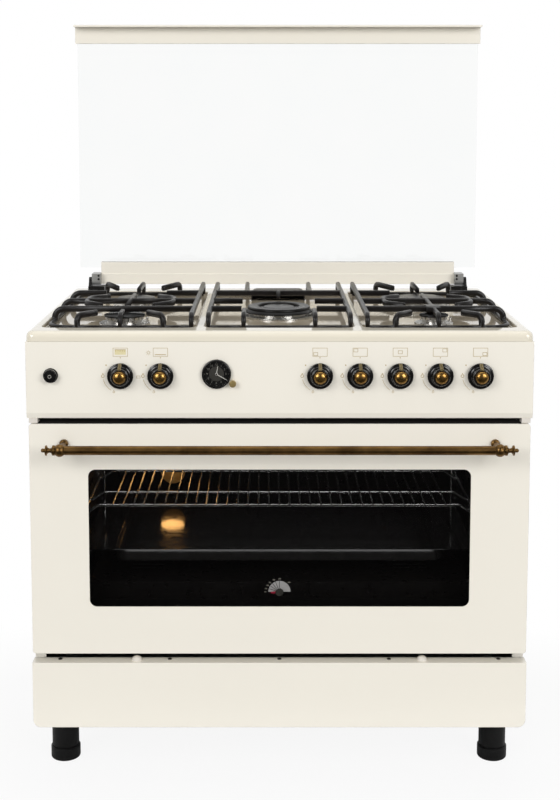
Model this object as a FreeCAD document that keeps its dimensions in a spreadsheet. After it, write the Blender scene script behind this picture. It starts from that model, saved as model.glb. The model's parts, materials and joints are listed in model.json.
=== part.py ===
import FreeCAD, Part
import math
import os

import Sketcher

# Free-standing gas cooker, 90 cm wide: X to the right, Y to the back, Z up, origin on the
# floor under the middle of the whole outline. All lengths are millimetres.

Vector = FreeCAD.Vector

# Where the dial hands stand, in degrees clockwise from straight up
HOUR_HAND_ANGLE = 10.0
MINUTE_HAND_ANGLE = 120.0
NEEDLE_ANGLE = -94.0
# How near an edge lies to a height to be taken as at it
EDGE_TOLERANCE = 0.01

SIZES = {
    # Cabinet
    "cabinet_width": 900.0,
    "cabinet_depth": 600.0,
    "leg_height": 120.0,
    "sheet": 1.0,
    "frame_sheet": 1.2,
    "panel_flange": 20.0,
    "frame_lap": 20.0,
    "frame_foot_gap": 4.0,
    "cut_overrun": 3.0,
    "seat_clearance": 0.3,
    "running_clearance": 0.05,
    # Back panel
    "louvre_width": 90.0,
    "louvre_height": 6.0,
    "louvre_pitch": 16.0,
    "louvre_count": 6,
    "louvre_column_x": 250.0,
    "louvre_low_z": 560.0,
    "inlet_hole_diameter": 60.0,
    # Base pan and drawer
    "base_setback": 2.0,
    "runner_inset": 100.0,
    "runner_width": 20.0,
    "runner_height": 8.0,
    "drawer_front_height": 122.0,
    "drawer_front_depth": 25.0,
    "drawer_front_inset": 2.0,
    "drawer_front_corner": 14.0,
    "drawer_box_side_inset": 50.0,
    "drawer_box_rear_gap": 145.0,
    "drawer_box_height": 92.0,
    "drawer_box_corner": 12.0,
    # Feet
    "foot_side_inset": 39.0,
    "foot_front_setback": 135.0,
    "foot_rear_setback": 95.0,
    "foot_tube_diameter": 51.0,
    "foot_pad_diameter": 56.0,
    "foot_pad_height": 24.0,
    "foot_pad_edge": 3.0,
    "foot_groove": 2.0,
    "foot_collar_height": 7.0,
    # Hob top
    "hob_skirt": 18.5,
    "hob_sheet": 1.2,
    "hob_corner": 14.0,
    "hob_edge_radius": 11.0,
    "bowl_depth": 8.0,
    "bowl_front_border": 44.0,
    "bowl_rear_border": 58.0,
    "bowl_side_border": 20.0,
    "bowl_corner": 20.0,
    "bowl_rim_radius": 2.5,
    "bowl_floor_radius": 3.0,
    "bowl_ridge": 16.0,
    "ridge_x": 143.0,
    # Burners
    "side_burner_inset": 161.0,
    "small_cap_diameter": 54.0,
    "medium_cap_diameter": 76.0,
    "fast_cap_diameter": 102.0,
    "wok_ring_diameter": 122.0,
    "wok_ring_width": 21.0,
    "wok_cap_diameter": 62.0,
    "burner_flange_margin": 9.0,
    "burner_flange_height": 3.0,
    "burner_cup_wall": 7.0,
    "burner_cup_depth": 24.0,
    "burner_cup_bottom_diameter": 34.0,
    "burner_base_height": 7.0,
    "burner_head_height": 8.0,
    "burner_head_inset": 5.0,
    "burner_slot_width": 2.4,
    "burner_slot_depth": 5.0,
    "burner_cap_height": 5.0,
    "burner_cap_dome": 1.4,
    "burner_cap_edge": 2.5,
    "electrode_diameter": 5.0,
    "electrode_height": 9.0,
    # Pan supports
    "grate_side_inset": 29.0,
    "grate_inner_x": 160.0,
    "grate_centre_x": 129.0,
    "grate_front_setback": 66.0,
    "grate_rear_gap": 76.0,
    "grate_height": 31.0,
    "grate_bar_width": 7.0,
    "grate_bar_height": 9.5,
    "grate_bar_edge": 1.6,
    "grate_rod_diameter": 8.0,
    "grate_corner": 44.0,
    "grate_bend": 11.0,
    "grate_drop_bend": 17.0,
    "grate_burner_gap": 62.0,
    "grate_leg_spread": 78.0,
    "grate_finger_inset": 30.0,
    "grate_finger_reach": 36.0,
    "grate_rear_finger_reach": 72.0,
    "grate_centre_finger": 44.0,
    "grate_centre_rear_finger": 104.0,
    "grate_fork_spread": 84.0,
    "grate_fork_tip_spread": 50.0,
    "grate_fork_reach": 64.0,
    "grate_fork_turn": 32.0,
    "grate_middle_front_reach": 72.0,
    "grate_middle_rear_reach": 74.0,
    "grate_plate_width": 24.0,
    "grate_plate_length": 44.0,
    "grate_wok_leg_x": 65.0,
    "grate_wok_finger": 62.0,
    "grate_wok_stub": 58.0,
    "grate_wok_rear_finger": 50.0,
    # Flue outlet
    "flue_width": 112.0,
    "flue_depth": 34.0,
    "flue_height": 22.0,
    "flue_corner": 12.0,
    "flue_inset": 38.2,
    "flue_wall": 2.0,
    "flue_slot_height": 9.0,
    "flue_duct_width": 86.0,
    "flue_duct_depth": 22.0,
    # Control panel
    "control_panel_height": 138.0,
    "panel_crease_height": 9.5,
    "panel_crease_set": 3.0,
    "panel_top_return": 24.0,
    "control_drop": 60.5,
    "burner_knob_first_x": 71.3,
    "burner_knob_last_inset": 94.7,
    "grill_knob_side_inset": 168.0,
    "knob_gap": 4.5,
    "knob_diameter": 46.5,
    "knob_skirt_height": 4.0,
    "knob_hub_diameter": 31.0,
    "knob_hub_height": 13.0,
    "knob_hub_draft": 1.5,
    "knob_cove": 2.2,
    "knob_dome_diameter": 22.0,
    "knob_dome_height": 5.5,
    "knob_dome_step": 1.5,
    "knob_pointer_width": 7.0,
    "knob_pointer_height": 4.2,
    "knob_pointer_start": 12.5,
    "stem_diameter": 8.0,
    "stem_socket": 11.0,
    "stem_reach": 36.0,
    "stem_hole_diameter": 13.0,
    # Gas taps and pipes
    "tap_diameter": 24.0,
    "tap_front": 22.0,
    "tap_length": 40.0,
    "plug_diameter": 14.0,
    "plug_length": 28.0,
    "plug_floor": 5.0,
    "saddle_width": 16.0,
    "rail_width": 18.0,
    "rail_drop": 30.0,
    "rail_setback": 36.0,
    "inlet_side_inset": 50.0,
    "inlet_diameter": 21.0,
    "inlet_length": 20.0,
    "inlet_collar_diameter": 28.0,
    "inlet_collar_length": 8.0,
    "inlet_pipe_diameter": 16.0,
    "inlet_end_gap": 3.0,
    "pipe_diameter": 8.0,
    "pipe_bend": 11.0,
    "pipe_first_run": 24.0,
    "pipe_slope_run": 26.0,
    "pipe_level_rise": 18.0,
    "pipe_level_drop": 20.0,
    "pipe_rear_gap": 44.0,
    # Clock, set knob and ignition button
    "clock_pitch": 99.0,
    "clock_rise": 3.0,
    "clock_diameter": 52.0,
    "clock_body_diameter": 44.0,
    "clock_body_length": 28.0,
    "clock_bezel_height": 6.5,
    "clock_bezel_crown": 1.2,
    "clock_bezel_wall": 3.0,
    "clock_dial_proud": 1.0,
    "clock_arbor_diameter": 3.0,
    "clock_arbor_length": 3.6,
    "hand_thickness": 0.6,
    "hour_hand_lift": 0.8,
    "minute_hand_lift": 2.2,
    "hour_hand_length": 14.5,
    "minute_hand_length": 21.0,
    "hand_width": 1.5,
    "hand_tip_width": 0.8,
    "hand_hub_diameter": 4.6,
    "set_knob_pitch": 29.0,
    "set_knob_drop": 14.0,
    "set_knob_diameter": 12.0,
    "set_knob_height": 9.0,
    "set_knob_gap": 0.8,
    "set_stem_diameter": 4.0,
    "set_stem_length": 14.0,
    "button_side_inset": 44.0,
    "button_diameter": 22.0,
    "button_proud": 7.5,
    "button_gap": 4.5,
    "button_dome": 1.2,
    "button_stem_diameter": 10.0,
    "button_stem_length": 22.0,
    # Front frame, oven cavity and what is in it
    "seal_gap": 6.0,
    "cavity_side_inset": 75.0,
    "cavity_low_inset": 78.5,
    "cavity_top_inset": 31.5,
    "cavity_rear_gap": 109.8,
    "cavity_corner": 22.0,
    "cavity_flange": 14.0,
    "insulation": 24.0,
    "seal_margin": 6.0,
    "seal_width": 10.0,
    "floor_plate_rise": 34.0,
    "floor_plate_side_gap": 3.0,
    "floor_plate_setback": 12.0,
    "floor_plate_rear_gap": 13.0,
    "floor_slot_length": 60.0,
    "floor_slot_width": 7.0,
    "floor_slot_pitch": 24.0,
    "floor_slot_count": 12,
    "floor_slot_inset": 100.0,
    "oven_burner_diameter": 26.0,
    "tube_burner_end_gap": 75.0,
    "oven_burner_setback": 190.0,
    "oven_burner_rise": 17.0,
    "oven_burner_feed": 16.0,
    "oven_burner_dome": 6.0,
    "oven_port_diameter": 3.0,
    "oven_port_end_gap": 45.0,
    "oven_port_count": 18,
    "grill_burner_drop": 30.0,
    "grill_burner_setback": 215.0,
    "feed_tail": 14.0,
    "lamp_x": 226.0,
    "lamp_diameter": 52.0,
    "lamp_height": 20.0,
    "lamp_body_diameter": 28.0,
    "lamp_flange": 4.0,
    "rack_wire": 5.0,
    "rack_post": 6.0,
    "rack_wall_gap": 6.0,
    "rack_front_setback": 40.0,
    "rack_rear_gap": 35.0,
    "rack_low_rise": 88.0,
    "rack_top_gap": 91.0,
    "rack_level_count": 3,
    "rack_post_overrun": 14.0,
    "shelf_wire": 6.0,
    "shelf_cross_wire": 5.0,
    "shelf_bar_wire": 3.2,
    "shelf_bar_count": 33,
    "shelf_bar_end_gap": 55.3,
    "shelf_setback": 22.0,
    "shelf_rear_gap": 27.0,
    "shelf_second_wire": 92.0,
    "shelf_side_play": 1.0,
    "shelf_step": 14.0,
    "shelf_step_run": 22.0,
    "tray_side_inset": 69.0,
    "tray_setback": 28.0,
    "tray_rear_gap": 29.0,
    "tray_height": 20.0,
    "tray_wall": 1.0,
    "tray_corner": 26.0,
    "tray_flange_inset": 11.0,
    # Oven door
    "door_height": 424.0,
    "door_depth": 38.0,
    "door_top_gap": 10.0,
    "door_drawer_gap": 17.5,
    "door_side_inset": 3.5,
    "door_panel_depth": 30.0,
    "door_corner": 6.0,
    "window_side_inset": 108.0,
    "window_low": 88.0,
    "window_top_inset": 83.0,
    "window_corner": 13.0,
    "glass_thickness": 4.0,
    "glass_margin": 22.0,
    "inner_window_margin": 8.0,
    "hinge_setback": 20.0,
    "hinge_rise": 12.5,
    "hinge_side_inset": 35.0,
    "hinge_tongue_width": 6.0,
    "hinge_tongue_height": 16.0,
    "hinge_pin_diameter": 8.0,
    "hinge_slot_gap": 3.0,
    "hinge_receiver_length": 50.0,
    "hinge_receiver_width": 14.0,
    "hinge_receiver_height": 26.0,
    "hinge_cheek": 5.0,
    "hinge_cheek_gap": 1.0,
    "hinge_bracket_front": 9.0,
    "hinge_bracket_height": 52.0,
    "hinge_web_height": 16.0,
    # Handle
    "handle_standoff": 50.0,
    "handle_drop": 35.5,
    "handle_side_inset": 66.0,
    "handle_bar_diameter": 16.0,
    "handle_ball_diameter": 22.5,
    "handle_ball_length": 17.0,
    "handle_ball_face": 14.0,
    "handle_ring_diameter": 18.0,
    "handle_ring_length": 6.5,
    "handle_neck_diameter": 9.0,
    "handle_crown_diameter": 18.0,
    "handle_crown_length": 10.0,
    "handle_crown_rim": 2.5,
    "handle_tip_diameter": 7.0,
    "handle_tip_length": 8.0,
    "handle_post_diameter": 10.0,
    "handle_rosette_diameter": 16.0,
    "handle_rosette_height": 4.0,
    # Thermometer
    "dial_rise": 24.5,
    "dial_radius": 20.0,
    "dial_thickness": 1.0,
    "dial_setback": 9.0,
    "dial_hub_diameter": 13.0,
    "dial_hub_height": 1.6,
    "dial_spigot_diameter": 6.0,
    "dial_probe_diameter": 8.0,
    "needle_hub_diameter": 10.0,
    "needle_thickness": 0.6,
    "needle_lift": 1.0,
    "needle_length": 15.5,
    "needle_width": 5.0,
    "needle_tip_width": 2.6,
    # Lid
    "lid_pivot_gap": 35.0,
    "lid_pivot_rise": 20.0,
    "lid_glass_offset": 14.0,
    "lid_glass_side_inset": 18.0,
    "lid_glass_thickness": 5.0,
    "lid_height": 571.0,
    "lid_trim_side_inset": 14.0,
    "lid_trim_height": 38.0,
    "lid_trim_front": 4.0,
    "lid_trim_back": 4.0,
    "lid_trim_lap": 8.0,
    "lid_lip_reach": 30.0,
    "lid_lip_thickness": 4.0,
    "lid_rail_side_inset": 64.0,
    "lid_rail_rise": 12.0,
    "lid_rail_height": 48.0,
    "lid_rail_front": 6.0,
    "lid_rail_back": 8.0,
    "lid_rail_step": 2.0,
    "lid_rail_step_height": 22.0,
    "lid_rail_lap": 12.0,
    "lid_arm_width": 19.0,
    "lid_arm_radius": 8.5,
    "lid_arm_height": 16.0,
    "lid_pin_diameter": 8.0,
    "lid_base_inner": 10.0,
    "lid_base_front": 22.0,
    "lid_base_back": 14.0,
    "lid_base_height": 10.0,
    "lid_ear_width": 6.0,
    "lid_ear_gap": 0.4,
}


class Size:
    """A number together with the sheet formula that gives it."""

    def __init__(self, value, formula):
        self.value = float(value)
        self.formula = formula

    @staticmethod
    def of(other):
        if isinstance(other, Size):
            return other
        return Size(other, "(%r)" % float(other))

    def __add__(self, other):
        other = Size.of(other)
        return Size(self.value + other.value, "(%s + %s)" % (self.formula, other.formula))

    __radd__ = __add__

    def __sub__(self, other):
        other = Size.of(other)
        return Size(self.value - other.value, "(%s - %s)" % (self.formula, other.formula))

    def __rsub__(self, other):
        return Size.of(other) - self

    def __mul__(self, other):
        other = Size.of(other)
        return Size(self.value * other.value, "(%s * %s)" % (self.formula, other.formula))

    __rmul__ = __mul__

    def __truediv__(self, other):
        other = Size.of(other)
        return Size(self.value / other.value, "(%s / %s)" % (self.formula, other.formula))

    def __neg__(self):
        return Size(0.0, "0") - self

    def root(self):
        return Size(math.sqrt(self.value), "sqrt(%s)" % self.formula)

    def __float__(self):
        return self.value


class Named:
    """Gives each named size of the sheet as a Size."""

    def __getattr__(self, name):
        return Size(SIZES[name], "dims." + name)


n = Named()
ZERO = Size(0.0, "0")

doc = FreeCAD.newDocument("gas_cooker")
sheet = doc.addObject("Spreadsheet::Sheet", "dims")
for row, (alias, number) in enumerate(SIZES.items(), start=1):
    sheet.set("A%d" % row, alias)
    sheet.set("B%d" % row, repr(number))
    sheet.setAlias("B%d" % row, alias)
doc.recompute()

NODES = []


def node(obj, label):
    """Make an object one of the parts that are written out."""
    obj.Label = label
    NODES.append(obj)
    return obj


def bind(obj, prop, size):
    obj.setExpression(prop, Size.of(size).formula)


def place(obj, x, y, z):
    for axis, size in zip("xyz", (x, y, z)):
        bind(obj, "Placement.Base." + axis, size)
    return obj


def turned(obj, degrees):
    """Turn an object about the front-to-back axis, clockwise as seen from the front."""
    obj.Placement = FreeCAD.Placement(Vector(), FreeCAD.Rotation(Vector(0, 1, 0), degrees))
    return obj


def new_body(name):
    return doc.addObject("PartDesign::Body", name)


def origin_feature(body, role):
    return [item for item in body.Origin.OriginFeatures if item.Role == role][0]


def new_sketch(body, plane, offset=ZERO):
    """A sketch on one of the body's own planes, moved along that plane's axis."""
    sketch = body.newObject("Sketcher::SketchObject", body.Name + "_sketch")
    sketch.AttachmentSupport = [(origin_feature(body, plane + "_Plane"), "")]
    sketch.MapMode = "FlatFace"
    bind(sketch, "AttachmentOffset.Base.z", -offset if plane == "XZ" else offset)
    return sketch


def fix_point(sketch, geometry, corner, u, v):
    for kind, size in (("DistanceX", u), ("DistanceY", v)):
        size = Size.of(size)
        index = sketch.addConstraint(Sketcher.Constraint(kind, -1, 1, geometry, corner, size.value))
        bind(sketch, "Constraints[%d]" % index, size)


def fix_radius(sketch, geometry, size):
    index = sketch.addConstraint(Sketcher.Constraint("Radius", geometry, size.value))
    bind(sketch, "Constraints[%d]" % index, size)


def outline(sketch, points):
    """A closed outline through (u, v) corners.

    A corner with a third value is reached by an arc, which bulges by that much to the left of the
    way there, or to the right where the value is negative.
    """
    corners = [(Size.of(p[0]), Size.of(p[1])) for p in points]
    count = len(points)
    ends = []
    for i in range(count):
        j = (i + 1) % count
        start = Vector(corners[i][0].value, corners[i][1].value, 0)
        end = Vector(corners[j][0].value, corners[j][1].value, 0)
        if len(points[j]) == 2:
            ends.append((sketch.addGeometry(Part.LineSegment(start, end), False), 1, 2))
            continue
        bulge = Size.of(points[j][2])
        along = end - start
        left = Vector(-along.y, along.x, 0).normalize()
        geometry = sketch.addGeometry(Part.Arc(start, (start + end) / 2 + left * bulge.value, end), False)
        first, last = (2, 1) if bulge.value > 0 else (1, 2)
        ends.append((geometry, first, last))
        rise = bulge if bulge.value > 0 else -bulge
        du = corners[j][0] - corners[i][0]
        dv = corners[j][1] - corners[i][1]
        chord = du * du + dv * dv
        fix_radius(sketch, geometry, (chord / 4 + rise * rise) / (rise * 2))
    for i in range(count):
        j = (i + 1) % count
        sketch.addConstraint(Sketcher.Constraint("Coincident", ends[i][0], ends[i][2], ends[j][0], ends[j][1]))
    for i in range(count):
        fix_point(sketch, ends[i][0], ends[i][1], *corners[i])
    return sketch


def rectangle(sketch, u0, u1, v0, v1):
    return outline(sketch, [(u0, v0), (u1, v0), (u1, v1), (u0, v1)])


CORNER_BULGE_SHARE = 1 - math.sqrt(0.5)


def rounded(sketch, u0, u1, v0, v1, radius):
    """A rectangle with the same round on all four corners."""
    bulge = -radius * CORNER_BULGE_SHARE
    return outline(sketch, [
        (u0 + radius, v0, bulge),
        (u1 - radius, v0),
        (u1, v0 + radius, bulge),
        (u1, v1 - radius),
        (u1 - radius, v1, bulge),
        (u0 + radius, v1),
        (u0, v1 - radius, bulge),
        (u0, v0 + radius),
    ])


def dome_bulge(radius, rise):
    """How far the half profile of a round dome stands off its chord."""
    chord = radius * radius + rise * rise
    sphere = chord / (rise * 2)
    return sphere - (sphere * sphere - chord / 4).root()


def circle(sketch, u, v, diameter):
    u, v, diameter = Size.of(u), Size.of(v), Size.of(diameter)
    ring = Part.Circle(Vector(u.value, v.value, 0), Vector(0, 0, 1), diameter.value / 2)
    geometry = sketch.addGeometry(ring, False)
    fix_point(sketch, geometry, 3, u, v)
    fix_radius(sketch, geometry, diameter / 2)
    return sketch


def pad(body, sketch, length, plane, forward=True):
    """Add material from the sketch, forward being along the plane's positive axis."""
    feature = body.newObject("PartDesign::Pad", body.Name + "_pad")
    feature.Profile = sketch
    bind(feature, "Length", length)
    feature.Reversed = forward == (plane == "XZ")
    body.Tip = feature
    return feature


def round_edges(body, radius, level, low, high):
    """Round the edges of a body that lie at one height, within low and high corners in X and Y."""
    doc.recompute()
    base = body.Tip
    names = []
    for count, edge in enumerate(base.Shape.Edges, start=1):
        bounds = edge.BoundBox
        flat = max(abs(bounds.ZMin - level.value), abs(bounds.ZMax - level.value)) < EDGE_TOLERANCE
        inside = (bounds.XMin > low[0].value - EDGE_TOLERANCE and bounds.XMax < high[0].value + EDGE_TOLERANCE
                  and bounds.YMin > low[1].value - EDGE_TOLERANCE and bounds.YMax < high[1].value + EDGE_TOLERANCE)
        if flat and inside:
            names.append("Edge%d" % count)
    feature = body.newObject("PartDesign::Fillet", body.Name + "_rounding")
    feature.Base = (base, names)
    bind(feature, "Radius", radius)
    body.Tip = feature
    return feature


def pocket(body, sketch, length, plane, forward=True):
    """Take material away from the sketch, forward being along the plane's positive axis."""
    feature = body.newObject("PartDesign::Pocket", body.Name + "_pocket")
    feature.Profile = sketch
    bind(feature, "Length", length)
    feature.Reversed = forward != (plane == "XZ")
    body.Tip = feature
    return feature


def revolve(body, points, plane, axis="V"):
    """Turn an outline in the plane through the body's origin round one sketch axis."""
    sketch = outline(new_sketch(body, plane), points)
    feature = body.newObject("PartDesign::Revolution", body.Name + "_turned")
    feature.Profile = sketch
    feature.ReferenceAxis = (sketch, [axis + "_Axis"])
    feature.Angle = 360
    body.Tip = feature
    return feature


def linear_pattern(body, feature, axis, length, count):
    pattern = body.newObject("PartDesign::LinearPattern", body.Name + "_row")
    pattern.Originals = [feature]
    pattern.Direction = (origin_feature(body, axis + "_Axis"), [""])
    bind(pattern, "Length", length)
    bind(pattern, "Occurrences", count)
    body.Tip = pattern
    return pattern


def polar_pattern(body, feature, axis, count):
    pattern = body.newObject("PartDesign::PolarPattern", body.Name + "_ring")
    pattern.Originals = [feature]
    pattern.Axis = (origin_feature(body, axis + "_Axis"), [""])
    pattern.Angle = 360
    pattern.Occurrences = count
    body.Tip = pattern
    return pattern


def box(x0, x1, y0, y1, z0, z1, name="block"):
    solid = doc.addObject("Part::Box", name)
    bind(solid, "Length", x1 - x0)
    bind(solid, "Width", y1 - y0)
    bind(solid, "Height", z1 - z0)
    return place(solid, x0, y0, z0)


TURN = {"X": (Vector(0, 1, 0), 90), "Y": (Vector(1, 0, 0), -90), "Z": (Vector(0, 0, 1), 0)}


def rod(axis, diameter, length, x, y, z, name="rod"):
    """A round bar that starts at a point and runs along an axis."""
    solid = doc.addObject("Part::Cylinder", name)
    bind(solid, "Radius", diameter / 2)
    bind(solid, "Height", length)
    solid.Placement.Rotation = FreeCAD.Rotation(*TURN[axis])
    return place(solid, x, y, z)


def fuse(parts, name="joined"):
    joined = doc.addObject("Part::MultiFuse", name)
    joined.Shapes = parts
    return joined


def cut(base, tool, name="cut"):
    result = doc.addObject("Part::Cut", name)
    result.Base = base
    result.Tool = tool
    return result


def group(parts, name="group"):
    """Separate solids that share one node."""
    joined = doc.addObject("Part::Compound", name)
    joined.Links = parts
    return joined


def copy_of(form, x, y, z):
    """One more of the same piece, at another place."""
    link = doc.addObject("App::Link", form.Name + "_copy")
    link.LinkedObject = form
    return place(link, x, y, z)


def rounded_path(points, radius):
    """Straight runs through the points, joined by tangent arcs of one radius."""
    edges = []
    last = points[0]
    for before, corner, after in zip(points, points[1:], points[2:]):
        into = (corner - before).normalize()
        out = (after - corner).normalize()
        turn = into.getAngle(out)
        trim = radius * math.tan(turn / 2)
        start = corner - into * trim
        end = corner + out * trim
        inward = (out - into).normalize()
        middle = corner + inward * (radius / math.cos(turn / 2) - radius)
        edges.append(Part.makeLine(last, start))
        edges.append(Part.Arc(start, middle, end).toShape())
        last = end
    edges.append(Part.makeLine(last, points[-1]))
    return Part.Wire(edges)


def round_sweep(points, radius, diameter):
    """A bent round wire or pipe."""
    path = rounded_path(points, radius)
    along = (points[1] - points[0]).normalize()
    section = Part.Wire([Part.makeCircle(diameter / 2, points[0], along)])
    shell = Part.BRepOffsetAPI.MakePipeShell(path)
    shell.add(section, False, False)
    shell.build()
    shell.makeSolid()
    return shell.shape()


def shape_node(label, shape):
    feature = doc.addObject("Part::Feature", label)
    feature.Shape = shape
    feature.Placement = FreeCAD.Placement()
    return node(feature, label)


# Planes that many pieces share
handle_reach = n.handle_standoff + n.handle_ball_diameter / 2
front = -(n.cabinet_depth - handle_reach) / 2
back = front + n.cabinet_depth
half = n.cabinet_width / 2
drawer_top = n.leg_height + n.drawer_front_height
door_low = drawer_top + n.door_drawer_gap
door_top = door_low + n.door_height
panel_z = door_top + n.door_top_gap
skirt_z = panel_z + n.control_panel_height
hob_z = skirt_z + n.hob_skirt
frame_y = front + n.door_depth + n.seal_gap
frame_back = frame_y + n.frame_sheet
control_z = skirt_z - n.control_drop
cavity_low = door_low + n.cavity_low_inset
cavity_top = door_top - n.cavity_top_inset
cavity_half = half - n.cavity_side_inset
cavity_back = back - n.cavity_rear_gap
cavity_depth = cavity_back - frame_back
insulation_back = cavity_back + n.insulation
pan_top = n.leg_height + n.frame_sheet
bowl_floor = hob_z - n.bowl_depth
bowl_under = bowl_floor - n.hob_sheet
hinge_y = front + n.hinge_setback
hinge_z = door_low + n.hinge_rise
hinge_x = half - n.hinge_side_inset
side_burner_x = half - n.side_burner_inset
button_x = half - n.button_side_inset
inlet_x = half - n.inlet_side_inset
store_half = half - n.drawer_box_side_inset
grate_front = front + n.grate_front_setback
grate_rear = back - n.grate_rear_gap
grate_depth = grate_rear - grate_front
BOTH = (-1, 1)


# Side panels: folded front, rear and top flanges
def side_panel(side):
    body = new_body("side_panel")
    inner = half - n.sheet
    fold = half - n.panel_flange
    corners = [
        (half, frame_back),
        (half, back),
        (fold, back),
        (fold, back - n.sheet),
        (inner, back - n.sheet),
        (inner, frame_back + n.sheet),
        (fold, frame_back + n.sheet),
        (fold, frame_back),
    ]
    sketch = outline(new_sketch(body, "XY", pan_top), [(u * side, v) for u, v in corners])
    pad(body, sketch, skirt_z - pan_top, "XY")
    sketch = new_sketch(body, "XY", skirt_z - n.sheet)
    rectangle(sketch, half * side, fold * side, frame_back, back)
    pad(body, sketch, n.sheet, "XY")
    return body


node(group([side_panel(side) for side in BOTH]), "side_panels")

# Back panel behind the side flanges, with two columns of louvre slots and the gas inlet hole
back_panel = new_body("back_panel_body")
back_face = back - n.sheet
pad(back_panel, rectangle(new_sketch(back_panel, "XZ", back_face), n.sheet - half, half - n.sheet,
                          pan_top, skirt_z - n.sheet), n.sheet, "XZ", False)
for side in BOTH:
    sketch = new_sketch(back_panel, "XZ", back_face)
    centre = n.louvre_column_x * side
    rounded(sketch, centre - n.louvre_width / 2, centre + n.louvre_width / 2,
            n.louvre_low_z, n.louvre_low_z + n.louvre_height, n.louvre_height / 3)
    slot = pocket(back_panel, sketch, n.sheet + n.cut_overrun, "XZ", False)
    linear_pattern(back_panel, slot, "Z", n.louvre_pitch * (n.louvre_count - 1), n.louvre_count)
rail_z = control_z - n.rail_drop
sketch = circle(new_sketch(back_panel, "XZ", back_face), -inlet_x, rail_z, n.inlet_hole_diameter)
pocket(back_panel, sketch, n.sheet + n.cut_overrun, "XZ", False)
node(back_panel, "back_panel")

# Base pan with two runners for the drawer
drawer_back_face = front + n.drawer_front_depth
base_front = drawer_back_face + n.base_setback
pan = box(-half, half, base_front, back, n.leg_height, pan_top, "pan")
runner_x = store_half - n.runner_inset
runners = [box(runner_x * side - n.runner_width / 2, runner_x * side + n.runner_width / 2,
               base_front, back_face - n.sheet, pan_top, pan_top + n.runner_height, "runner") for side in BOTH]
node(fuse([pan] + runners), "base_pan")

# Feet: a turned tube on a flared pad
foot = new_body("foot")
foot_r = n.foot_tube_diameter / 2
pad_r = n.foot_pad_diameter / 2
revolve(foot, [
    (ZERO, ZERO),
    (pad_r - n.foot_pad_edge, ZERO),
    (pad_r, n.foot_pad_edge, -n.foot_pad_edge * CORNER_BULGE_SHARE),
    (pad_r, n.foot_pad_height - n.foot_groove),
    (pad_r - n.foot_groove, n.foot_pad_height),
    (foot_r - n.foot_groove, n.foot_pad_height),
    (foot_r - n.foot_groove, n.foot_pad_height + n.foot_groove),
    (foot_r, n.foot_pad_height + n.foot_groove),
    (foot_r, n.leg_height - n.foot_collar_height),
    (pad_r, n.leg_height - n.foot_collar_height),
    (pad_r, n.leg_height),
    (ZERO, n.leg_height),
], "XZ")
foot_x = half - n.foot_side_inset
feet = [copy_of(foot, foot_x * side, y, ZERO) for side in BOTH
        for y in (front + n.foot_front_setback, back - n.foot_rear_setback)]
node(group(feet), "feet")

# Front frame round the oven mouth, with slots for the hinge tongues
frame = new_body("frame_body")
frame_low = drawer_top + n.frame_foot_gap
pad(frame, rectangle(new_sketch(frame, "XZ", frame_y), -half, half, frame_low, panel_z + n.frame_lap),
    n.frame_sheet, "XZ")
mouth = rounded(new_sketch(frame, "XZ", frame_y), -cavity_half, cavity_half, cavity_low, cavity_top,
                n.cavity_corner)
pocket(frame, mouth, n.frame_sheet + n.cut_overrun, "XZ")
tongue_half = n.hinge_tongue_width / 2
tongue_rise = n.hinge_tongue_height / 2
for side in BOTH:
    centre = hinge_x * side
    reach = tongue_half + n.hinge_slot_gap
    sketch = rectangle(new_sketch(frame, "XZ", frame_y), centre - reach, centre + reach,
                       hinge_z - tongue_rise - n.hinge_slot_gap, hinge_z + tongue_rise + n.hinge_slot_gap)
    pocket(frame, sketch, n.frame_sheet + n.cut_overrun, "XZ")
node(frame, "front_frame")

# Control panel: folded sheet with a creased lower edge and closed ends
panel = new_body("panel_body")
crease_z = panel_z + n.panel_crease_height
crease_y = front + n.panel_crease_set
sketch = outline(new_sketch(panel, "YZ", -half), [
    (front + n.panel_top_return, skirt_z),
    (front, skirt_z),
    (front, crease_z),
    (crease_y, panel_z),
    (frame_y, panel_z),
    (frame_y, panel_z + n.sheet),
    (crease_y + n.sheet, panel_z + n.sheet),
    (front + n.sheet, crease_z),
    (front + n.sheet, skirt_z - n.sheet),
    (front + n.panel_top_return, skirt_z - n.sheet),
])
pad(panel, sketch, n.cabinet_width, "YZ")
for edge in (-half, half - n.sheet):
    sketch = outline(new_sketch(panel, "YZ", edge), [
        (frame_y, skirt_z),
        (front, skirt_z),
        (front, crease_z),
        (crease_y, panel_z),
        (frame_y, panel_z),
    ])
    pad(panel, sketch, n.sheet, "YZ")
knob_pitch = (half - n.burner_knob_last_inset - n.burner_knob_first_x) / 4
burner_knob_x = [n.burner_knob_first_x + knob_pitch * k for k in range(5)]
grill_knob_x = n.grill_knob_side_inset - half
oven_knob_x = [grill_knob_x + knob_pitch, grill_knob_x]
clock_x = oven_knob_x[0] + n.clock_pitch
set_knob_x = clock_x + n.set_knob_pitch
knob_x = oven_knob_x + burner_knob_x
clock_z = control_z + n.clock_rise
set_z = control_z - n.set_knob_drop
clock_hole = n.clock_body_diameter + n.seat_clearance * 2
button_hole = n.button_stem_diameter + n.seat_clearance * 2
set_hole = n.set_stem_diameter + n.seat_clearance * 2
holes = [(x, control_z, n.stem_hole_diameter) for x in knob_x]
holes += [(clock_x, clock_z, clock_hole), (-button_x, control_z, button_hole), (set_knob_x, set_z, set_hole)]
sketch = new_sketch(panel, "XZ", front)
for x, z, diameter in holes:
    circle(sketch, x, z, diameter)
pocket(panel, sketch, n.sheet + n.cut_overrun, "XZ")
node(panel, "control_panel")

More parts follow.
